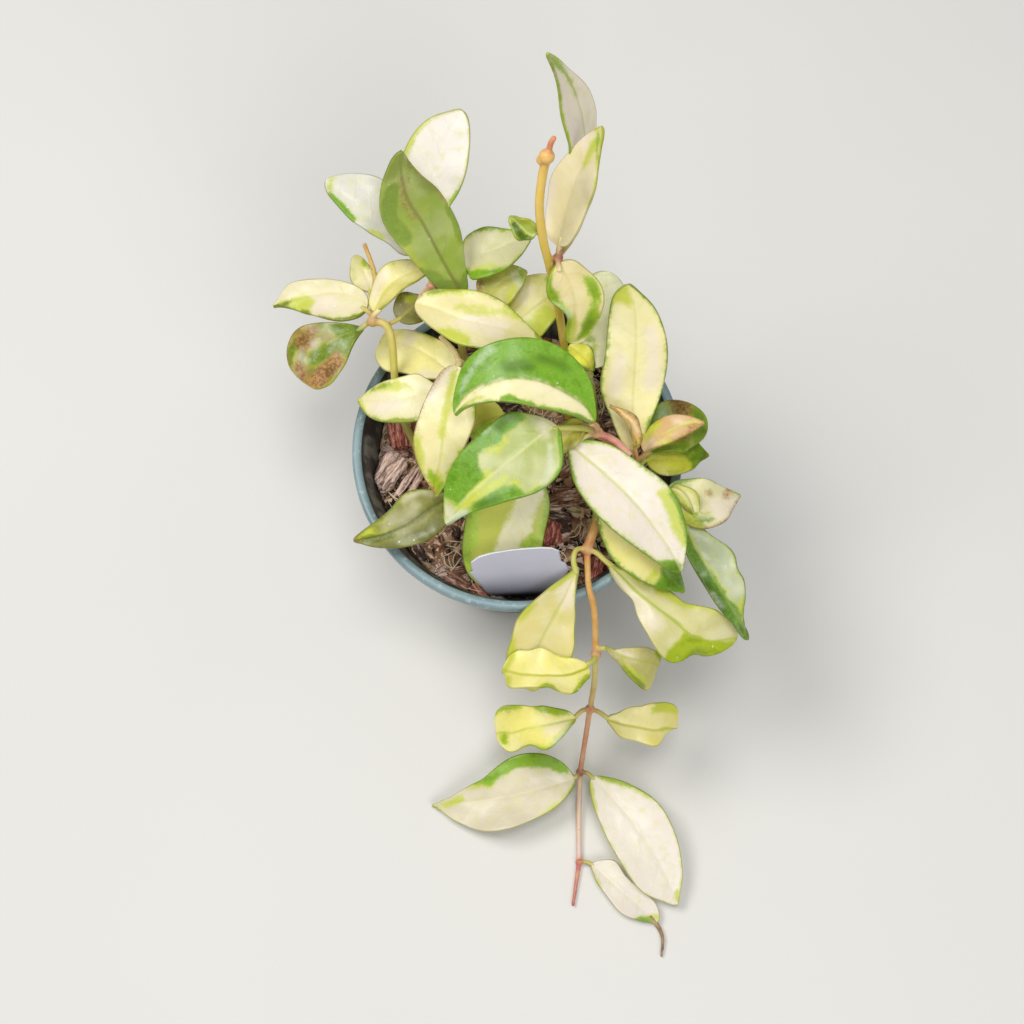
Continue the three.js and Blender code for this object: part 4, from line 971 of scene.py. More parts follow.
leaf(UPRIGHT, "hanging_leaf", (12, 37, 149), (16, 19.5, 128), 18, bend=-3,
     right=(4.2, 7.3, 7.2, 3, 2.8, 2), left=(4.2, 6.5, 9.1, 7.9, 6, 3.6),
     ground=(232, 216, 160), leafgreen=(148, 180, 28), rib=0.3, vein=(206, 190, 96),
     lime=[(0, 58, 30, 66, 75, 95, 80, 97, -20, 70, -10)],
     green=[(0, 2, 130, 6, 72, 16, 72, 30, 56, 48, 60, 62, 74, 70, 130),
            (0, 22, -60, 36, -48, 52, -62, 50, -90, 26, -88),
            (0, 55, -50, 74, -26, 96, -30, 90, -80, 68, -95, 55, -80)],
     deep=[(0, 66, -50, 78, -36, 92, -42, 82, -80, 68, -85), (0.7, 36, -70, 42, -72)],
     # Painted highlight: this pale line stands for a glint along the right margin.
     chalk=[(0.35, 40, 92, 62, 70)],
     rims=[("green", "right", (0.5, 1, 1, 1, 1.5, 1))])
leaf(UPRIGHT, "rolled_leaf", (5.5, 42.5, 158.5), (-2.5, 46.5, 160.5), 7, roll=45, cup=0.5,
     ground=(176, 196, 76), leafgreen=(74, 106, 20), rib=0.8, vein=(206, 214, 130), lean=(-0.6, 0, 0.6),
     lime=[(0.8, 30, 80, 70, 90)],
     green=[(1, 20, -80, 70, -50)],
     deep=[(0.8, 50, -40, 85, 10)])

# ------------------------------------------------------------------------------------------------
# The tall stem at the back left: two nearly white leaves, a broad one that shows its olive
# underside with a brown rib, and a puckered cream one that lies forward over its neighbours.
TALL = "tall_left_stem"
top_joint = (-27.5, 45, 124)
low_joint = (-27, 42, 119)
stem(TALL, "tall_left_shoot", [
    ([(-18, 30, 58), (-18, 30, 74), (-19, 35, 97), (-25, 40, 113), top_joint],
     2.7, 2.5, (220, 206, 100), (220, 216, 110)),
    ([low_joint, (-22, 41, 117), (-16, 41, 117)], 1.8, 2, FRESH, (150, 168, 80)),
    ([top_joint, (-26.5, 50, 126), (-24.8, 56, 130)], 1.8, 2, FRESH, CREAM),
    ([top_joint, (-30, 48.5, 124), (-35, 52, 123.6)], 1.7, 1.8, FRESH, CREAM),
    ([low_joint, (-30, 37.5, 122.5), (-30, 33.6, 124)], 1.8, 2, PINK, CREAM),
], [(*low_joint, 1.9, PINK), (*top_joint, 1.9, PINK)])
leaf(TALL, "olive_leaf_turned_over", (-17, 40, 115), (-34.5, 65, 166), 22.5, arch=3, bend=1.3, roll=180,
     right=(4, 6.5, 9, 11.5, 9.5, 4.5), left=(3.5, 6.5, 10, 8.8, 4, 1.2),
     ground=(150, 180, 52), leafgreen=(104, 146, 10), rib=1, vein=(98, 92, 34),
     lean=(0, 0.02, 0.06, 0.22, 0.2),
     lime=[(1.6, 22, 95, 42, 90)],
     green=[(0, 0, -130, 0, 130, 34, 130, 26, 66, 16, 30, 10, -30, 14, -130), (2.6, 50, 72, 66, 80, 80, 60),
            (1.4, 30, -90, 50, -90)],
     blush=[(1, 58, 20, 70, 30, 84, 24), (0.7, 56, -98, 76, -97, 92, -80)],
     deep=[(0, 88, 130, 86, 30, 95, 0, 105, 30, 100, 130),
           (0, 60, -130, 66, -60, 78, -30, 94, -30, 98, -130), (0.6, 37, -36)])
leaf(TALL, "white_leaf", (-25.5, 54, 128), (-16.5, 82.5, 158), 21, bend=-4.5,
     right=(3, 4.5, 8.6, 10, 7.8, 4.2), left=(4, 8, 10, 10.3, 8, 3),
     ground=(242, 235, 226), leafgreen=(150, 180, 60), rib=0.05, vein=(232, 226, 204),
     green=[(0.9, 30, 100, 42, 97)],
     rims=[("lime", "left", (0, 0.3, 0.8, 1.6, 0.8, 0.4)), ("lime", "right", (1.4, 1.2, 0.6, 0.3, 0.3))])
leaf(TALL, "pale_leaf_left", (-33, 51, 123), (-60, 71, 134), 14, bend=4.5,
     right=(3, 5.5, 7, 7.2, 5, 2), left=(4, 6, 9, 9.8, 7.5, 4.3),
     ground=(218, 216, 206), leafgreen=(116, 166, 42), rib=0.1, vein=(214, 216, 180),
     lean=(-0.6, -0.55, -0.5, -0.3),
     lime=[(1.1, 26, -92, 40, -92), (0.8, 95, 50, 95, -60)],
     green=[(0, 58, -130, 62, -82, 76, -72, 94, -80, 96, -130)])
leaf(TALL, "puckered_cream_leaf", (-32, 34, 124), (9, 20, 121), 18.5, arch=4, bend=-1.5,
     right=(4, 8, 10.8, 10, 7, 3), left=(4, 6.4, 7.8, 6.8, 3.8, 1.8),
     ground=(228, 216, 158), leafgreen=(136, 150, 24), rib=0.25, vein=(206, 204, 96),
     lean=(0, 0.2, 0.22, 0.1, 0),
     pale=[(0, 30, 40, 40, -10, 70, -20, 66, 50)],
     lime=[(0, 20, 130, 22, 84, 32, 60, 46, 66, 56, 130), (0.8, 38, -5, 52, -24, 58, -50, 68, -75),
           (0.6, 30, -12, 42, -30, 50, -50), (1.2, 10, -75, 36, -95),
           (0, 60, -130, 62, -80, 70, -55, 78, -90, 80, -130)],
     green=[(0, 8, -70, 20, -80, 38, -100, 36, -130, 8, -130), (1.1, 90, -90, 98, -60)],
     blush=[(0.9, 3, -90)],
     rims=[("green", "right", (0, 0, 0, 0.3, 0.5, 0.5)), ("green", "left", (0, 0.4, 0.5, 0.3, 0.4, 0.8))])

# ------------------------------------------------------------------------------------------------
# The left stem: a yellow shoot that arches out over the rim to a tan joint, with cream leaves, a
# bare amber spur, a small dark one, and one leaf turned copper by the sun.
LEFT = "left_stem"
joint = (-46, 33.5, 111)
stem(LEFT, "left_shoot", [
    ([(-31, -3, 58), (-31, -3, 74), (-34, 2, 86), (-37.2, 8, 91), (-39.2, 17, 100), (-40, 28, 108),
      (-42, 32.5, 110.5), joint], 2.5, 2.6, (184, 186, 66), (210, 192, 96)),
    ([joint, (-46.5, 41, 106), (-46, 51, 107), (-49.3, 60.3, 111)], 2, 1.5, FRESH, (222, 168, 84)),
    ([joint, (-45.6, 34.6, 113), (-43.4, 36.6, 113.6)], 1.8, 1.9, TANNED, CREAM),
    ([joint, (-47, 37, 109), (-50, 39.4, 108)], 1.8, 1.9, TANNED, FRESH),
    ([joint, (-48, 33, 110), (-51, 31, 108.4)], 1.8, 1.9, FRESH, (140, 160, 80)),
    ([(-46, 40, 106.5), (-47, 44, 104), (-48, 48, 103)], 1.5, 1.5, FRESH, FRESH),
    ([(-42, 32.5, 110), (-40, 34, 108.6), (-37, 36, 107.8)], 1.7, 1.6, TANNED, FRESH),
], [(*joint, 2, TANNED)])
leaf(LEFT, "left_leaf_inner", (-45, 35.5, 113), (-28, 47.5, 117), 13, bend=-2.5, roll=15,
     right=(1.2, 3, 3.2, 3.8, 2.6, 0.8), left=(3.2, 5.3, 7.4, 7.6, 6.5, 2),
     ground=(218, 207, 124), rib=0.5, vein=(206, 198, 80), lean=(-0.1, -0.15, -0.1, -0.2),
     pale=[(1.8, 20, -70, 45, -70)],
     green=[(0.5, 62, -90)],
     rims=[("lime", "left", (0.6, 0.2, 0.3, 0.6, 0.4)), ("lime", "right", (0.3, 0.3, 0.3))])
leaf(LEFT, "left_leaf_outer", (-48, 39, 108), (-78.5, 41, 105), 13.5, bend=2.5,
     right=(4, 6, 6.8, 6, 5.9, 1.6), left=(4.5, 7, 7.5, 6.2, 3, 0.8),
     ground=(224, 214, 174), leafgreen=(106, 120, 14), rib=0.4, vein=(220, 212, 120),
     lean=(0.5, 0.35, 0.2, 0.1, 0),
     pale=[(2.6, 40, -30, 50, -50)],
     lime=[(0, 54, -20, 62, 5, 95, 10, 100, -120, 54, -130, 60, -70)],
     green=[(0, 80, 0, 95, -5, 97, -80, 84, -80), (0, 54, -130, 58, -86, 68, -78, 74, -130)],
     rims=[("green", "left", (1.6, 1.2, 0.2, 0, 0.6, 1.2))])
leaf(LEFT, "left_leaf_small", (-47.5, 47, 103), (-52.5, 60, 102), 8.5,
     right=(2, 4, 3.9, 2.2, 1.9, 0.8), left=(2, 4, 5, 3.9, 2.9, 1.6),
     ground=(218, 212, 150), leafgreen=(150, 170, 30), rib=0.4, vein=(206, 198, 80),
     pale=[(1.2, 10, 0, 30, 0)],
     lime=[(0, 45, 90, 60, 30, 90, 20, 85, 130, 50, 130)],
     green=[(0.7, 55, 70, 72, 70)])
leaf(LEFT, "copper_leaf", (-49, 32, 109), (-70.5, 18.5, 100), 19, bend=2.2, wave=0.5,
     right=(1.2, 3.6, 7.2, 10, 8.9, 5), left=(1.6, 4.9, 9.6, 11.5, 11, 8),
     ground=(142, 134, 62), leafgreen=(106, 128, 14), rib=0,
     pale=[(1.2, 58, 28)],
     lime=[(1.2, 20, 50, 26, -10)],
     green=[(0, -5, -130, -5, 130, 32, 130, 36, 50, 30, 0, 36, -50, 26, -130),
            (2.4, 36, -30, 50, -20, 68, -10), (1.4, 70, 70, 90, 85), (1.2, 40, 90, 50, 70)],
     blush=[(0, 56, 50, 64, 90, 76, 80, 74, 40, 64, 30), (1.4, 50, 75, 56, 60),
            (3, 48, -66, 70, -60, 86, -70), (1.4, 90, 20, 94, -30)],
     deep=[(0, -5, -130, -5, 130, 10, 130, 10, -130), (1.2, 62, 62, 70, 60), (1.4, 56, -72, 66, -68)],
     chalk=[(0.28, 27, -50, 30, -20, 38, -6, 46, -20), (0.28, 30, 95, 36, 80, 40, 60, 34, 45),
            (0.28, 60, 10, 70, -8, 79, 10, 78, 34, 72, 44), (0.25, 50, 95, 50, 70)],
     rims=[("lime", "left", (0, 0, 0.3, 0.6, 0.8)), ("blush", "right", (0, 0, 0.3, 0.6, 0.8))])
# Painted shade: this small leaf sits in the shade of the others, and its ground is that shaded dark olive.
leaf(LEFT, "left_leaf_shaded", (-38, 35, 108), (-29, 44, 104), 12,
     ground=(120, 112, 6), leafgreen=(96, 104, 16), rib=0.6, vein=(190, 180, 70),
     lime=[(1, 50, -50, 90, -40)],
     deep=[(2.5, 10, 40, 50, 70)])

# ------------------------------------------------------------------------------------------------
# The middle left stem: three soft cream leaves, one of them hanging down over the front leaves
# with a thin pink edge.
MIDDLE = "middle_left_stem"
joint = (-18, 18, 113)
stem(MIDDLE, "middle_left_shoot", [
    ([(-12, 10, 58), (-12, 10, 74), (-16, 15, 98), joint], 2.7, 2.4, GOLD, (244, 232, 150)),
    ([(-18, 18, 112), (-20, 22, 115), (-24.5, 27.5, 113)], 2, 1.6, CREAM, (236, 206, 150)),
    ([joint, (-18, 17.4, 116), (-19.4, 14, 118)], 1.7, 1.8, TANNED, CREAM),
    ([(-18, 18, 108), (-19, 18.6, 104), (-23, 20.6, 100)], 1.7, 1.8, FRESH, BUTTER),
    ([(-18, 18, 111), (-20.6, 15.4, 110), (-25.5, 11.6, 108)], 1.7, 1.8, FRESH, CREAM),
], [(*joint, 1.9, (216, 190, 140))])
leaf(MIDDLE, "pink_edged_leaf", (-19, 16, 118), (-25.5, -22.5, 104), 18.5, arch=4, bend=1.2,
     right=(3.4, 5.6, 7.6, 8.1, 5.1, 1.3), left=(4.3, 8, 10, 8, 5, 1.8),
     ground=(232, 221, 160), leafgreen=(152, 186, 18), rib=0.6, vein=(196, 200, 60),
     lean=(-0.1, -0.02, -0.08, -0.1, 0.1),
     pale=[(0, -5, 30, -5, 130, 34, 130, 30, 50, 15, 20)],
     lime=[(1, 8, -4, 30, -6, 54, 0), (0, 54, 130, 56, 72, 70, 62, 86, 80, 88, 130),
           (0, 90, 130, 86, 40, 80, 0, 84, -60, 105, -60, 105, 130)],
     green=[(0, 80, 50, 84, -20, 90, -30, 93, 40, 86, 58),
            (0, 56, -130, 60, -92, 72, -76, 80, -62, 86, -80, 90, -130), (0.7, 26, -97, 34, -97),
            (1.2, 90, -50, 97, -20)],
     blush=[(1.2, 92, 90, 96, 40)],
     rims=[("blush", "right", (0.5, 0.5, 0.3, 0, 0.3, 0.6))])
leaf(MIDDLE, "butter_leaf", (-21, 19.5, 100), (-45, 34, 92), 19, bend=2,
     right=(4, 6.3, 6.6, 5.5, 5, 4), left=(4, 7, 9, 11, 10, 6.5),
     ground=(248, 238, 158), rib=0.25, vein=(214, 200, 100),
     pale=[(0, 56, 130, 60, 0, 72, 0, 72, 130), (1.4, 4, -70, 26, -80)],
     lime=[(1, 40, 100, 56, 100)])
leaf(MIDDLE, "leaf_over_left_rim", (-24.5, 11.5, 108), (-51, 11, 99), 16.5, arch=3, bend=-2.5,
     right=(3, 7, 7.5, 6.3, 4.6, 1.5), left=(4, 8, 8.5, 7.5, 5, 1.5),
     ground=(238, 229, 180), leafgreen=(140, 160, 40), rib=0.3, vein=(220, 212, 120),
     pale=[(2.6, 50, -20, 70, -30)],
     lime=[(0, 30, 50, 46, 86, 86, 92, 86, 60, 60, 50, 40, 40), (1.2, 86, -95, 97, -60)],
     green=[(0.7, 55, 78, 80, 80), (0, 26, -130, 30, -86, 50, -84, 60, -130)],
     rims=[("green", "left", (0, 0, 0.4, 0.8, 0.5)), ("lime", "right", (0.5, 0.3, 0.3, 0.6, 0.8))])

# ------------------------------------------------------------------------------------------------
# The low front stem: a short shoot under the others. One broad striped leaf stands behind the
# label, and a folded olive one reaches over the left of the rim.
LOW = "low_front_stem"
joint = (-5, -8, 92)
stem(LOW, "low_front_shoot", [
    ([(-5, -7, 58), (-5, -7, 74), joint], 2.5, 2.3, TANNED, FRESH),
    ([(-5, -8, 90), (-10, -13, 94), (-17, -17, 95), (-21, -20.6, 95)], 2, 1.8, FRESH, FRESH),
    ([joint, (-1, -9, 94), (5, -13, 95)], 1.8, 2, FRESH, FRESH),
    ([joint, (-4.4, -2, 99), (-4.6, 5, 105)], 1.8, 1.8, FRESH, FRESH),
], [(*joint, 1.9, FRESH)])
# Painted light: this leaf lies in the shade of the label and the leaves above, and its ground and greens
# are painted lighter to make up for it.
leaf(LOW, "striped_leaf_behind_label", (4, -11, 95), (-9, -45, 73), 27, arch=3, cup=-0.1,
     right=(6, 11, 15, 14, 12, 8), left=(5.6, 9.6, 11, 12, 9, 4.5),
     ground=(255, 248, 206), leafgreen=(190, 220, 88), rib=0,
     lime=[(0, 0, 10, 30, 10, 80, 20, 100, 60, 100, 130, 20, 130, 0, 90),
           (0, 16, -64, 30, -55, 42, -60, 60, -40, 70, -60, 80, -130, 0, -130)],
     green=[(0, 0, 80, 30, 66, 50, 70, 62, 62, 80, 72, 100, 80, 100, 130, 0, 130),
            (0, 46, -90, 44, -60, 52, -46, 64, -50, 70, -90),
            (0, 0, -82, 30, -80, 60, -84, 100, -70, 100, -130, 0, -130)],
     deep=[(1.4, 10, 100, 36, 98), (1, 10, -97, 40, -97)],
     rims=[("green", "left", (1.5, 1.5, 1.5, 1.5, 1.5))])
leaf(LOW, "folded_olive_leaf", (-20, -20, 95), (-52, -33.5, 92), 16, arch=3, bend=-1.5, roll=12,
     right=(3, 6.8, 8.9, 5.4, 3.4, 1.6), left=(3.8, 6.2, 8.1, 6.9, 4.3, 1.3),
     ground=(136, 134, 56), leafgreen=(104, 112, 18), rib=1, vein=(92, 98, 8),
     lean=(0.25, 0.1, -0.1, -0.18, -0.2),
     pale=[(0.9, 14, 90, 40, 90)],
     lime=[(0, 74, 0, 78, 60, 84, 95, 96, 80, 96, -10)],
     green=[(1.2, 66, -25, 90, -30)],
     blush=[(0.8, 97, 0)],
     deep=[(1.2, 12, 20, 40, -5, 62, -16), (0, 10, 0, 34, -30, 30, -130, 5, -130),
           (0, 30, -30, 90, -35, 90, -130, 30, -130)],
     chalk=[(0.5, 30, -75, 50, -70)],
     rims=[("green", "right", (0.6, 0.6, 0.4, 0.6, 0.8)), ("deep", "left", (0.6, 0.8, 0.8, 1, 0.8))])
# Painted light: this leaf sits in the shade under the great leaves, and its ground and green are painted
# brighter to make up for it.
leaf(LOW, "olive_leaf_inside", (-4, 4, 105), (-17, -1, 103), 14,
     ground=(252, 246, 124), leafgreen=(186, 226, 90), rib=0.3,
     green=[(1.4, 10, -50, 50, -30, 80, -60)])

# ------------------------------------------------------------------------------------------------
# The centre stem: it holds the three largest leaves of all, two edged broadly in green and one
# white with a green border, on a pink joint hidden among them.
CENTRE = "centre_stem"
joint = (24.4, -6, 118)
stem(CENTRE, "centre_shoot", [
    ([(32, 2, 58), (32, 2, 74), (33, -4, 97), (30.5, -8, 111), joint], 2.8, 2.6, TANNED, PINK),
    ([joint, (24, -6.4, 125), (22, -7, 130)], 1.8, 2, TANNED, (210, 160, 120)),
    ([joint, (19, -5.6, 121), (10.5, -6.5, 123)], 1.8, 2, FRESH, FRESH),
    ([joint, (20, -7.4, 117), (17.4, -10.6, 115.6)], 1.8, 2, FRESH, CREAM),
    ([(24.4, -6, 117), (22, -4, 117.6), (19, -3.4, 117.6)], 1.5, 1.6, FRESH, FRESH),
    ([joint, (30, -8.5, 117), (34.5, -12.2, 114)], 2.2, 2.6, ROSE, (232, 170, 160)),
], [(*joint, 2, PINK)])
leaf(CENTRE, "great_green_leaf", (23, -7, 130), (-19, -4.5, 130), 23, arch=7, bend=11,
     right=(3.5, 9.2, 12.2, 11.8, 11.3, 5.1), left=(2.6, 6.8, 9.6, 8.8, 4.8, 1),
     ground=(242, 232, 186), leafgreen=(112, 164, 34), rib=0.5, vein=(92, 120, 30),
     lean=(0.34, 0.02, -0.08, -0.04, 0.12, 0.4),
     pale=[(0.8, 20, 20, 28, 16)],
     lime=[(2, 4, 70, 14, 75, 22, 55), (1.2, 14, 34, 30, 16, 40, 10), (0.8, 84, -50, 97, -30)],
     green=[(0, -5, 36, 10, 20, 20, 5, 32, -3, 50, -8, 62, -2, 72, 4, 84, 16, 95, 34, 105, 40, 105, 140,
             -5, 140), (0, 38, -130, 42, -88, 54, -84, 62, -72, 72, -74, 80, -130),
            (0.9, 12, -98, 20, -95)],
     deep=[(1.8, 50, 25, 62, 30), (1.2, 30, 60, 44, 50)],
     # Painted highlight: these pale streaks stand for the waxy gloss on the upper left of the arch.
     chalk=[(0.8, 68, 84, 80, 66, 90, 56)],
     rims=[("green", "left", (0.8, 0.8, 0.5, 0.6, 0.4, 0.6))])
leaf(CENTRE, "great_mottled_leaf", (12, -5.5, 123), (-22, -34, 113), 27, arch=4, bend=-0.5,
     right=(6, 12.7, 13.6, 12.7, 9.6, 3.6), left=(4.7, 11.6, 12.2, 7.4, 2.9, 1),
     ground=(174, 184, 108), leafgreen=(104, 156, 30), rib=0.5, vein=(220, 222, 160),
     lean=(0.1, 0.08, 0.12, 0.16, 0.2),
     pale=[(1.3, 2, 100, 6, 50, 10, 5), (1.6, 94, 90, 93, 30)],
     lime=[(1.2, 32, 55, 40, 50, 46, 62), (1.6, 56, 20, 70, 12, 84, 20),
           (0, 46, -25, 56, -34, 72, -30, 80, 0, 58, 5), (1.5, 47, -50, 54, -66)],
     green=[(0, 12, 130, 13, 74, 22, 60, 32, 62, 36, 50, 42, 62, 52, 70, 56, 50, 60, 16, 70, 20, 85, 20,
             90, 130), (0, 48, -50, 56, -38, 68, -34, 80, -50, 82, -130, 46, -130),
            (0, 0, -130, 0, -30, 6, -60, 14, -86, 22, -130)],
     deep=[(1.5, 20, 88, 30, 84), (0.5, 37, 86), (1, 62, -70, 74, -70)],
     # Painted highlight: the second chalk stroke, on the left half near the base, stands for a patch of
     # gloss.
     chalk=[(0.3, 36, 94, 40, 92), (0.9, 14, -40, 22, -70, 32, -90), (1.6, 86, -60, 96, -40)],
     rims=[("green", "left", (0.6, 0.8, 0.6, 0.8, 0.6)), ("green", "right", (0, 0.4, 0.5, 0.5, 0.6, 0.6))])
leaf(CENTRE, "great_white_leaf", (16, -9, 116), (50, -48, 109), 23, arch=4, bend=-3, wave=0.6,
     right=(4.3, 10, 12.4, 11.5, 7.6, 3.6), left=(3.4, 7.5, 9, 10.6, 7.6, 2.6),
     ground=(233, 222, 208), leafgreen=(112, 156, 32), rib=0.9, vein=(206, 206, 138),
     lean=(0.14, 0.1, 0.08, 0.06, 0),
     lime=[(0, 54, -130, 56, -62, 66, -50, 80, -44, 88, -60, 92, -130),
           (0, 0, -50, 6, -60, 14, -80, 30, -100, 34, -130, 0, -130)],
     green=[(0, 88, 130, 89, 60, 92, 10, 96, -30, 105, -30, 105, 130),
            (0, 2, 130, 4, 86, 18, 90, 32, 100, 36, 130),
            (0, 54, -130, 60, -86, 76, -80, 88, -90, 92, -130),
            (0, 2, -76, 10, -86, 24, -100, 30, -130, 0, -130), (0.5, 30, -98, 55, -98)],
     deep=[(1.4, 96, 80, 97, 20)],
     rims=[("green", "right", (0.8, 0.6, 0.4, 0.4, 0.4, 0.6)),
           ("green", "left", (0.5, 0.5, 0.4, 0.6, 0.6, 0.4))])
leaf(CENTRE, "folded_pale_leaf", (20, -2.5, 118), (12, -11, 112), 8, cup=0.5,
     ground=(214, 204, 96), rib=0.2,
     deep=[(1, 30, -80, 55, -60)],
     rims=[("lime", "right", (0.5, 0.8, 0.5))])

# ------------------------------------------------------------------------------------------------
# The right stem: one long broad cream leaf that leans back, and a tuft of young leaves at its
# foot, still copper and purple, with one folded like a pod.
RIGHT = "right_stem"
joint = (38, -11, 101)
stem(RIGHT, "right_shoot", [
    ([(40, -4, 58), (40, -4, 74), (39.5, -9, 92), joint], 2.6, 2.4, FRESH, (196, 190, 70)),
    ([joint, (37, -10, 104.5), (36, -7.4, 108.5)], 1.8, 2, FRESH, CREAM),
    ([joint, (37, -10.4, 108), (36, -8.6, 114.6)], 1.6, 1.5, (190, 130, 70), (214, 150, 84)),
    ([joint, (38.6, -10.4, 105.6), (41, -9, 109.2)], 1.7, 1.6, (150, 120, 50), (200, 150, 90)),
    ([joint, (39, -9.6, 103), (42.4, -7, 104.2)], 1.6, 1.6, FRESH, FRESH),
    ([joint, (39, -10.4, 102), (42, -9.4, 101.8)], 1.6, 1.6, FRESH, FRESH),
], [(*joint, 2, FRESH)])
leaf(RIGHT, "broad_cream_leaf", (36, -8.5, 107), (33, 33, 142), 19, arch=-2, bend=2,
     right=(2.5, 5, 8.6, 9.9, 7.8, 3), left=(4, 7.6, 11.5, 9.4, 7.4, 5),
     ground=(240, 230, 168), leafgreen=(104, 142, 30), rib=0.45, vein=(204, 204, 96),
     lean=(-0.2, -0.12, -0.04, 0.08, 0.18),
     pale=[(2.2, 40, 50, 70, 60), (2, 36, -60, 56, -50)],
     lime=[(0, 86, 0, 90, -40, 92, -130, 105, -130, 105, 10)],
     green=[(0, 10, 130, 12, 84, 20, 80, 28, 130), (0.6, 65, -95, 72, -95)],
     rims=[("green", "left", (0, 0.3, 0.5, 0.3, 0.3, 0.3)),
           ("green", "right", (0.4, 0.4, 0.3, 0.3, 0.3, 0.3))])
leaf(RIGHT, "podlike_young_leaf", (36.5, -9.5, 114), (28, 1, 123), 3.8, bend=2.6, cup=0.6,
     ground=(246, 206, 122), leafgreen=(130, 160, 40), rib=0.1,
     pale=[(0.5, 30, 20, 70, 20)],
     lime=[(0.5, 0, 0, 10, 0)],
     rims=[("blush", "right", (0.4, 0.6, 0.6, 0.4)), ("blush", "left", (0.3, 0.3, 0.4))])
leaf(RIGHT, "copper_young_leaf", (39.5, -9.5, 109), (58, -2, 115), 10, bend=-2.3,
     right=(1, 2.4, 3.8, 4, 2.8, 1), left=(2.6, 4.8, 4.8, 4.3, 2.7, 1),
     ground=(208, 164, 100), leafgreen=(168, 176, 66), rib=0.35, vein=(196, 184, 90),
     pale=[(0, -5, -40, 0, 90, 24, 60, 22, -20)],
     lime=[(0, 10, -130, 12, -40, 40, -50, 50, -130), (0, 20, 130, 24, 50, 46, 60, 50, 130),
           (0.5, 50, 10, 90, -20)],
     blush=[(0, 74, 90, 78, 20, 94, 20, 94, 90)],
     rims=[("blush", "left", (0, 0.1, 0.2, 0.3)), ("blush", "right", (0, 0.2, 0.3, 0.4))])
leaf(RIGHT, "purple_young_leaf", (41, -7.5, 104), (60, -0.5, 103), 18, bend=-4, point=0.5,
     ground=(136, 150, 44), leafgreen=(122, 150, 38), rib=0,
     green=[(2.2, 10, 90, 60, 85), (0, 20, -130, 24, -30, 50, -30, 54, -130),
            (0, 76, -130, 80, 130, 105, 130, 105, -130)],
     blush=[(0, 52, -130, 56, -30, 76, -30, 78, -130), (0.8, 60, 50, 84, 0)],
     deep=[(0, 50, -130, 54, -40, 74, -40, 76, -130), (1.6, 86, -60, 94, 20)])
leaf(RIGHT, "green_young_leaf", (40.5, -9.5, 102), (61, -6, 95), 13, bend=1.5,
     right=(2.9, 5.3, 5.2, 4.1, 1.5, 0.8), left=(3, 6, 8, 8, 6.5, 1.6),
     ground=(186, 186, 54), leafgreen=(116, 146, 12), rib=0,
     green=[(0, 56, 130, 62, 40, 60, -10, 40, -40, 10, -50, -5, -130, 105, -130, 105, 130)],
     blush=[(0.5, 98, 0)],
     deep=[(1.2, 84, 60, 92, -20), (0.8, 30, 90, 50, 85)])

# ------------------------------------------------------------------------------------------------
# The lower right stem: a spotted leaf with two healed scabs, a small curled one, and a long wavy
# one of bluish green that hangs outside the rim.
LOWER = "lower_right_stem"
joint = (44, -23.5, 95)
stem(LOWER, "lower_right_shoot", [
    ([(38, -19, 58), (38, -19, 74), (41, -21.5, 87), joint], 2.6, 2.3, TANNED, FRESH),
    ([joint, (44.6, -22.6, 98), (47.4, -21.8, 99.4)], 1.7, 1.8, FRESH, FRESH),
    ([joint, (45.4, -20.6, 99), (49, -19.6, 101)], 1.6, 1.6, FRESH, FRESH),
    ([joint, (48.6, -25.6, 97.6), (54, -30.6, 97)], 1.8, 2, FRESH, FRESH),
], [(*joint, 1.9, FRESH)])
leaf(LOWER, "scabbed_leaf", (46, -22, 99), (71, -18.5, 92), 15, arch=3, bend=2,
     right=(3, 7, 9.5, 8.4, 4, 1.2), left=(5, 7, 7.5, 6.3, 3.4, 1),
     ground=(212, 205, 156), leafgreen=(116, 150, 90), rib=0.15, vein=(206, 204, 120), lean=(0, 0.1, 0.2),
     pale=[(0, 50, 90, 50, -10, 95, -10, 95, 90)],
     lime=[(0, 16, 130, 22, 30, 36, 40, 44, 90, 40, 130)],
     green=[(0.5, 30, 80, 42, 70, 52, 72), (0.4, 34, 50, 50, 50),
            (0, 0, -70, 20, -80, 44, -98, 46, -130, 0, -130)],
     blush=[(0.9, 54, -30), (0.75, 76, -15, 80, -40, 84, -70)],
     deep=[(0.35, 54, -32), (0.8, 26, 95, 40, 95)],
     rims=[("blush", "right", (0, 0, 0.3, 0.6, 0.6)), ("green", "left", (0, 0, 0, 0.3, 0.3))])
leaf(LOWER, "curled_leaf", (48, -19, 101), (56, -28.5, 97), 6, bend=-2, cup=0.5,
     ground=(222, 220, 138), leafgreen=(160, 176, 60), rib=0.8, vein=(150, 152, 70), lean=(-0.6, 0, 0.5),
     pale=[(0.8, 40, -60, 70, -50)],
     lime=[(0.8, 10, 40, 50, 80)],
     rims=[("green", "right", (0.4, 0.3, 0.4)), ("lime", "left", (0.5, 0.8, 0.5))])
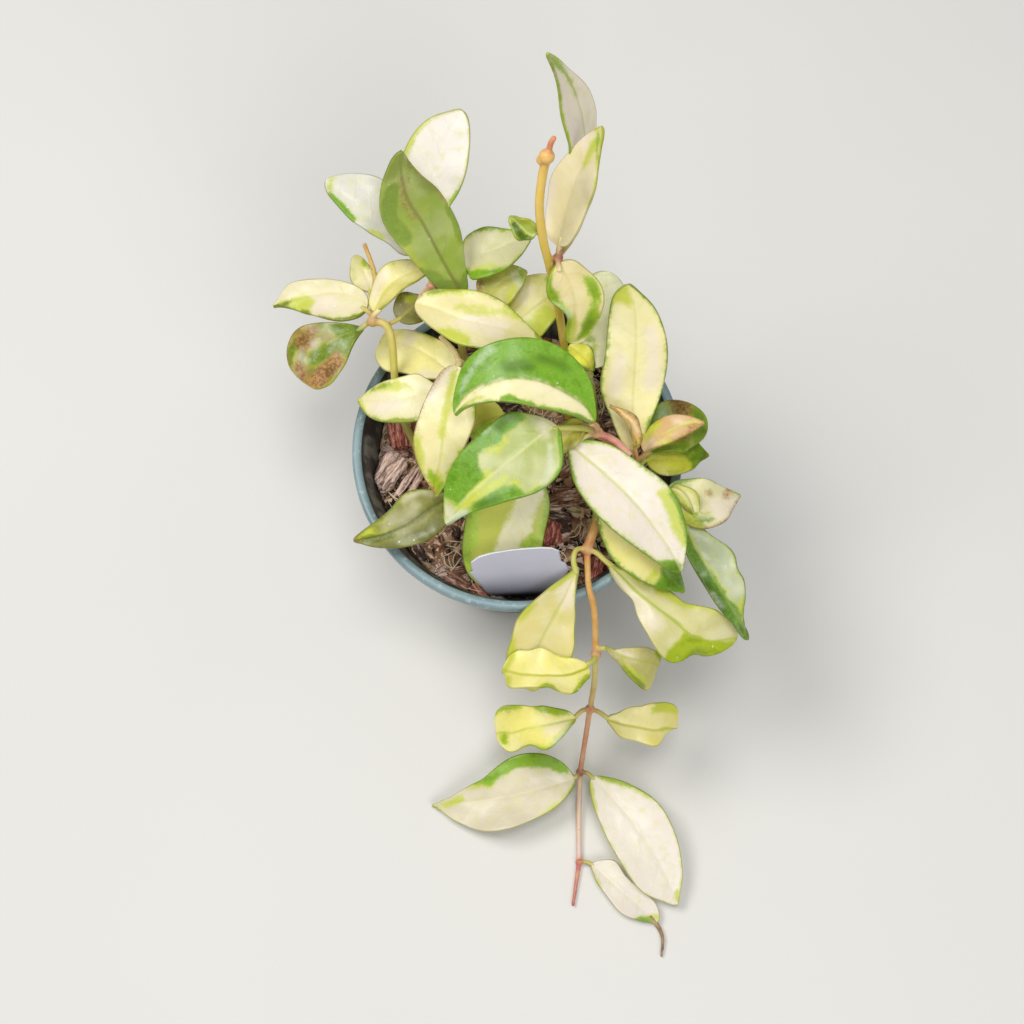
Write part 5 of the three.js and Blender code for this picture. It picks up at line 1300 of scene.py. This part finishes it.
leaf(LOWER, "long_bluish_leaf", (53, -29.5, 97), (72.5, -64.5, 87), 11, arch=3, bend=-1.5, wave=1.3,
     right=(2.2, 6, 6.4, 6.3, 4, 2), left=(2.6, 4.6, 7.2, 5.3, 1, 0.5),
     ground=(174, 184, 146), leafgreen=(94, 134, 46), rib=0.3, vein=(196, 206, 120),
     lean=(0.2, 0.35, 0.4, 0.3, 0),
     lime=[(0.8, 10, 50, 30, 36, 60, 30, 76, 20), (1, 70, -60, 82, -20)],
     green=[(0, 4, 130, 8, 60, 20, 42, 45, 30, 64, 24, 76, 0, 84, -50, 88, -130, 105, -130, 105, 130)],
     deep=[(0, 36, 130, 42, 66, 60, 60, 72, 80, 76, 130), (1.4, 90, 30, 95, -30)],
     chalk=[(0.35, 56, 84, 68, 80)],
     rims=[("green", "left", (0.5, 0.3, 0.3, 0.5, 0.8))],
     bites=[("left", 48, 1.5, 6), ("left", 30, -0.5, 8), ("left", 72, -0.5, 7), ("right", 85, 0.5, 5)])

# ------------------------------------------------------------------------------------------------
# The low stem at the back: a short tan shoot with three olive and grey cream leaves, spread
# under the tall ones.
BACK = "back_stem"
joint = (-17, 40, 109)
stem(BACK, "back_shoot", [
    ([(-6, 28, 58), (-6, 28, 74), (-12, 35, 96), joint], 2.6, 2.2, TANNED, FRESH),
    ([joint, (-17.4, 45, 115), (-15, 51, 118.6)], 1.7, 1.8, FRESH, FRESH),
    ([joint, (-15, 40, 112), (-10, 41, 113.6)], 1.7, 1.8, FRESH, FRESH),
    ([joint, (-12, 34, 109.6), (-6.4, 30.6, 108.6)], 1.7, 1.8, FRESH, FRESH),
], [(*joint, 1.8, FRESH)])
leaf(BACK, "grey_cream_leaf", (-17, 50.5, 118), (4, 56, 124), 15.5,
     right=(6.5, 8, 8.4, 8.3, 5.2, 2), left=(5, 8, 8.2, 6.3, 4.3, 1.4),
     ground=(202, 199, 154), leafgreen=(120, 164, 22), rib=0,
     pale=[(0.6, 3, 40, 6, -80)],
     lime=[(1, 6, 55, 40, 66)],
     green=[(0, -5, 55, 10, 56, 30, 66, 46, 78, 62, 100, 66, 130, -5, 130)],
     deep=[(0.9, 20, -98, 60, -96)],
     rims=[("green", "left", (0.8, 1, 0.9, 0.8, 0.5)), ("green", "right", (2, 1, 0.8, 0.6, 0.4))])
leaf(BACK, "olive_back_leaf", (-12, 40.5, 113), (3, 48, 117), 15,
     ground=(182, 180, 92), leafgreen=(160, 184, 80), rib=0.2,
     lime=[(1, 50, 90, 62, 60, 72, 70)],
     green=[(1, 86, 80, 90, -60)],
     blush=[(0.8, 10, -60, 30, -80)],
     chalk=[(1, 76, 80, 78, -20)])
leaf(BACK, "olive_cream_leaf", (-8, 29.5, 108), (15, 45, 114), 21,
     right=(5, 9, 10.5, 9.5, 7, 3.5), left=(5, 8.9, 9.6, 9.6, 7.7, 4),
     ground=(216, 208, 124), leafgreen=(134, 164, 40), rib=0.6, vein=(170, 176, 40),
     lean=(0.1, 0.12, 0.12, 0.14),
     pale=[(1.2, 50, -30, 66, -50)],
     lime=[(0, 10, 30, 70, 30, 76, 130, 10, 130)],
     green=[(0.8, 78, 70, 84, 10, 90, -70)],
     deep=[(0.8, 78, -95)])

# ------------------------------------------------------------------------------------------------
# The stem at the back right: a short green shoot, half hidden, with a grey white leaf that leans
# back and a small yellow one.
BACK_RIGHT = "back_right_stem"
joint = (22.5, 18, 104)
stem(BACK_RIGHT, "back_right_shoot", [
    ([(26, 13, 58), (26, 13, 74), (24, 16, 96), joint], 2.6, 2.2, FRESH, (160, 176, 60)),
    ([joint, (22.2, 17.6, 107), (23.2, 20, 109.6)], 1.7, 1.8, FRESH, CREAM),
    ([joint, (18.4, 22, 109.4), (16.8, 24, 112.4)], 1.7, 1.7, FRESH, FRESH),
], [(*joint, 1.8, FRESH)])
leaf(BACK_RIGHT, "grey_white_leaf", (23, 18.5, 109), (27, 46, 122), 18, bend=1, point=0.5,
     ground=(240, 240, 198), leafgreen=(150, 176, 40), rib=0.15, vein=(210, 208, 150),
     pale=[(1.4, 10, 80, 30, 50, 50, 40)],
     lime=[(1, 10, -60, 22, 0)],
     green=[(0.7, 24, -70, 30, -20)],
     rims=[("lime", "left", (0.6, 1, 0.6))])
leaf(BACK_RIGHT, "small_yellow_leaf", (16, 24.5, 113), (24, 17.5, 109), 8,
     ground=(238, 234, 88), leafgreen=(106, 146, 26), rib=0.3, vein=(190, 180, 30),
     deep=[(0.8, 90, 30, 90, -60)],
     rims=[("green", "right", (0.4, 1, 1, 0.6)), ("green", "left", (0.2, 0.3, 0.6, 1.2))])
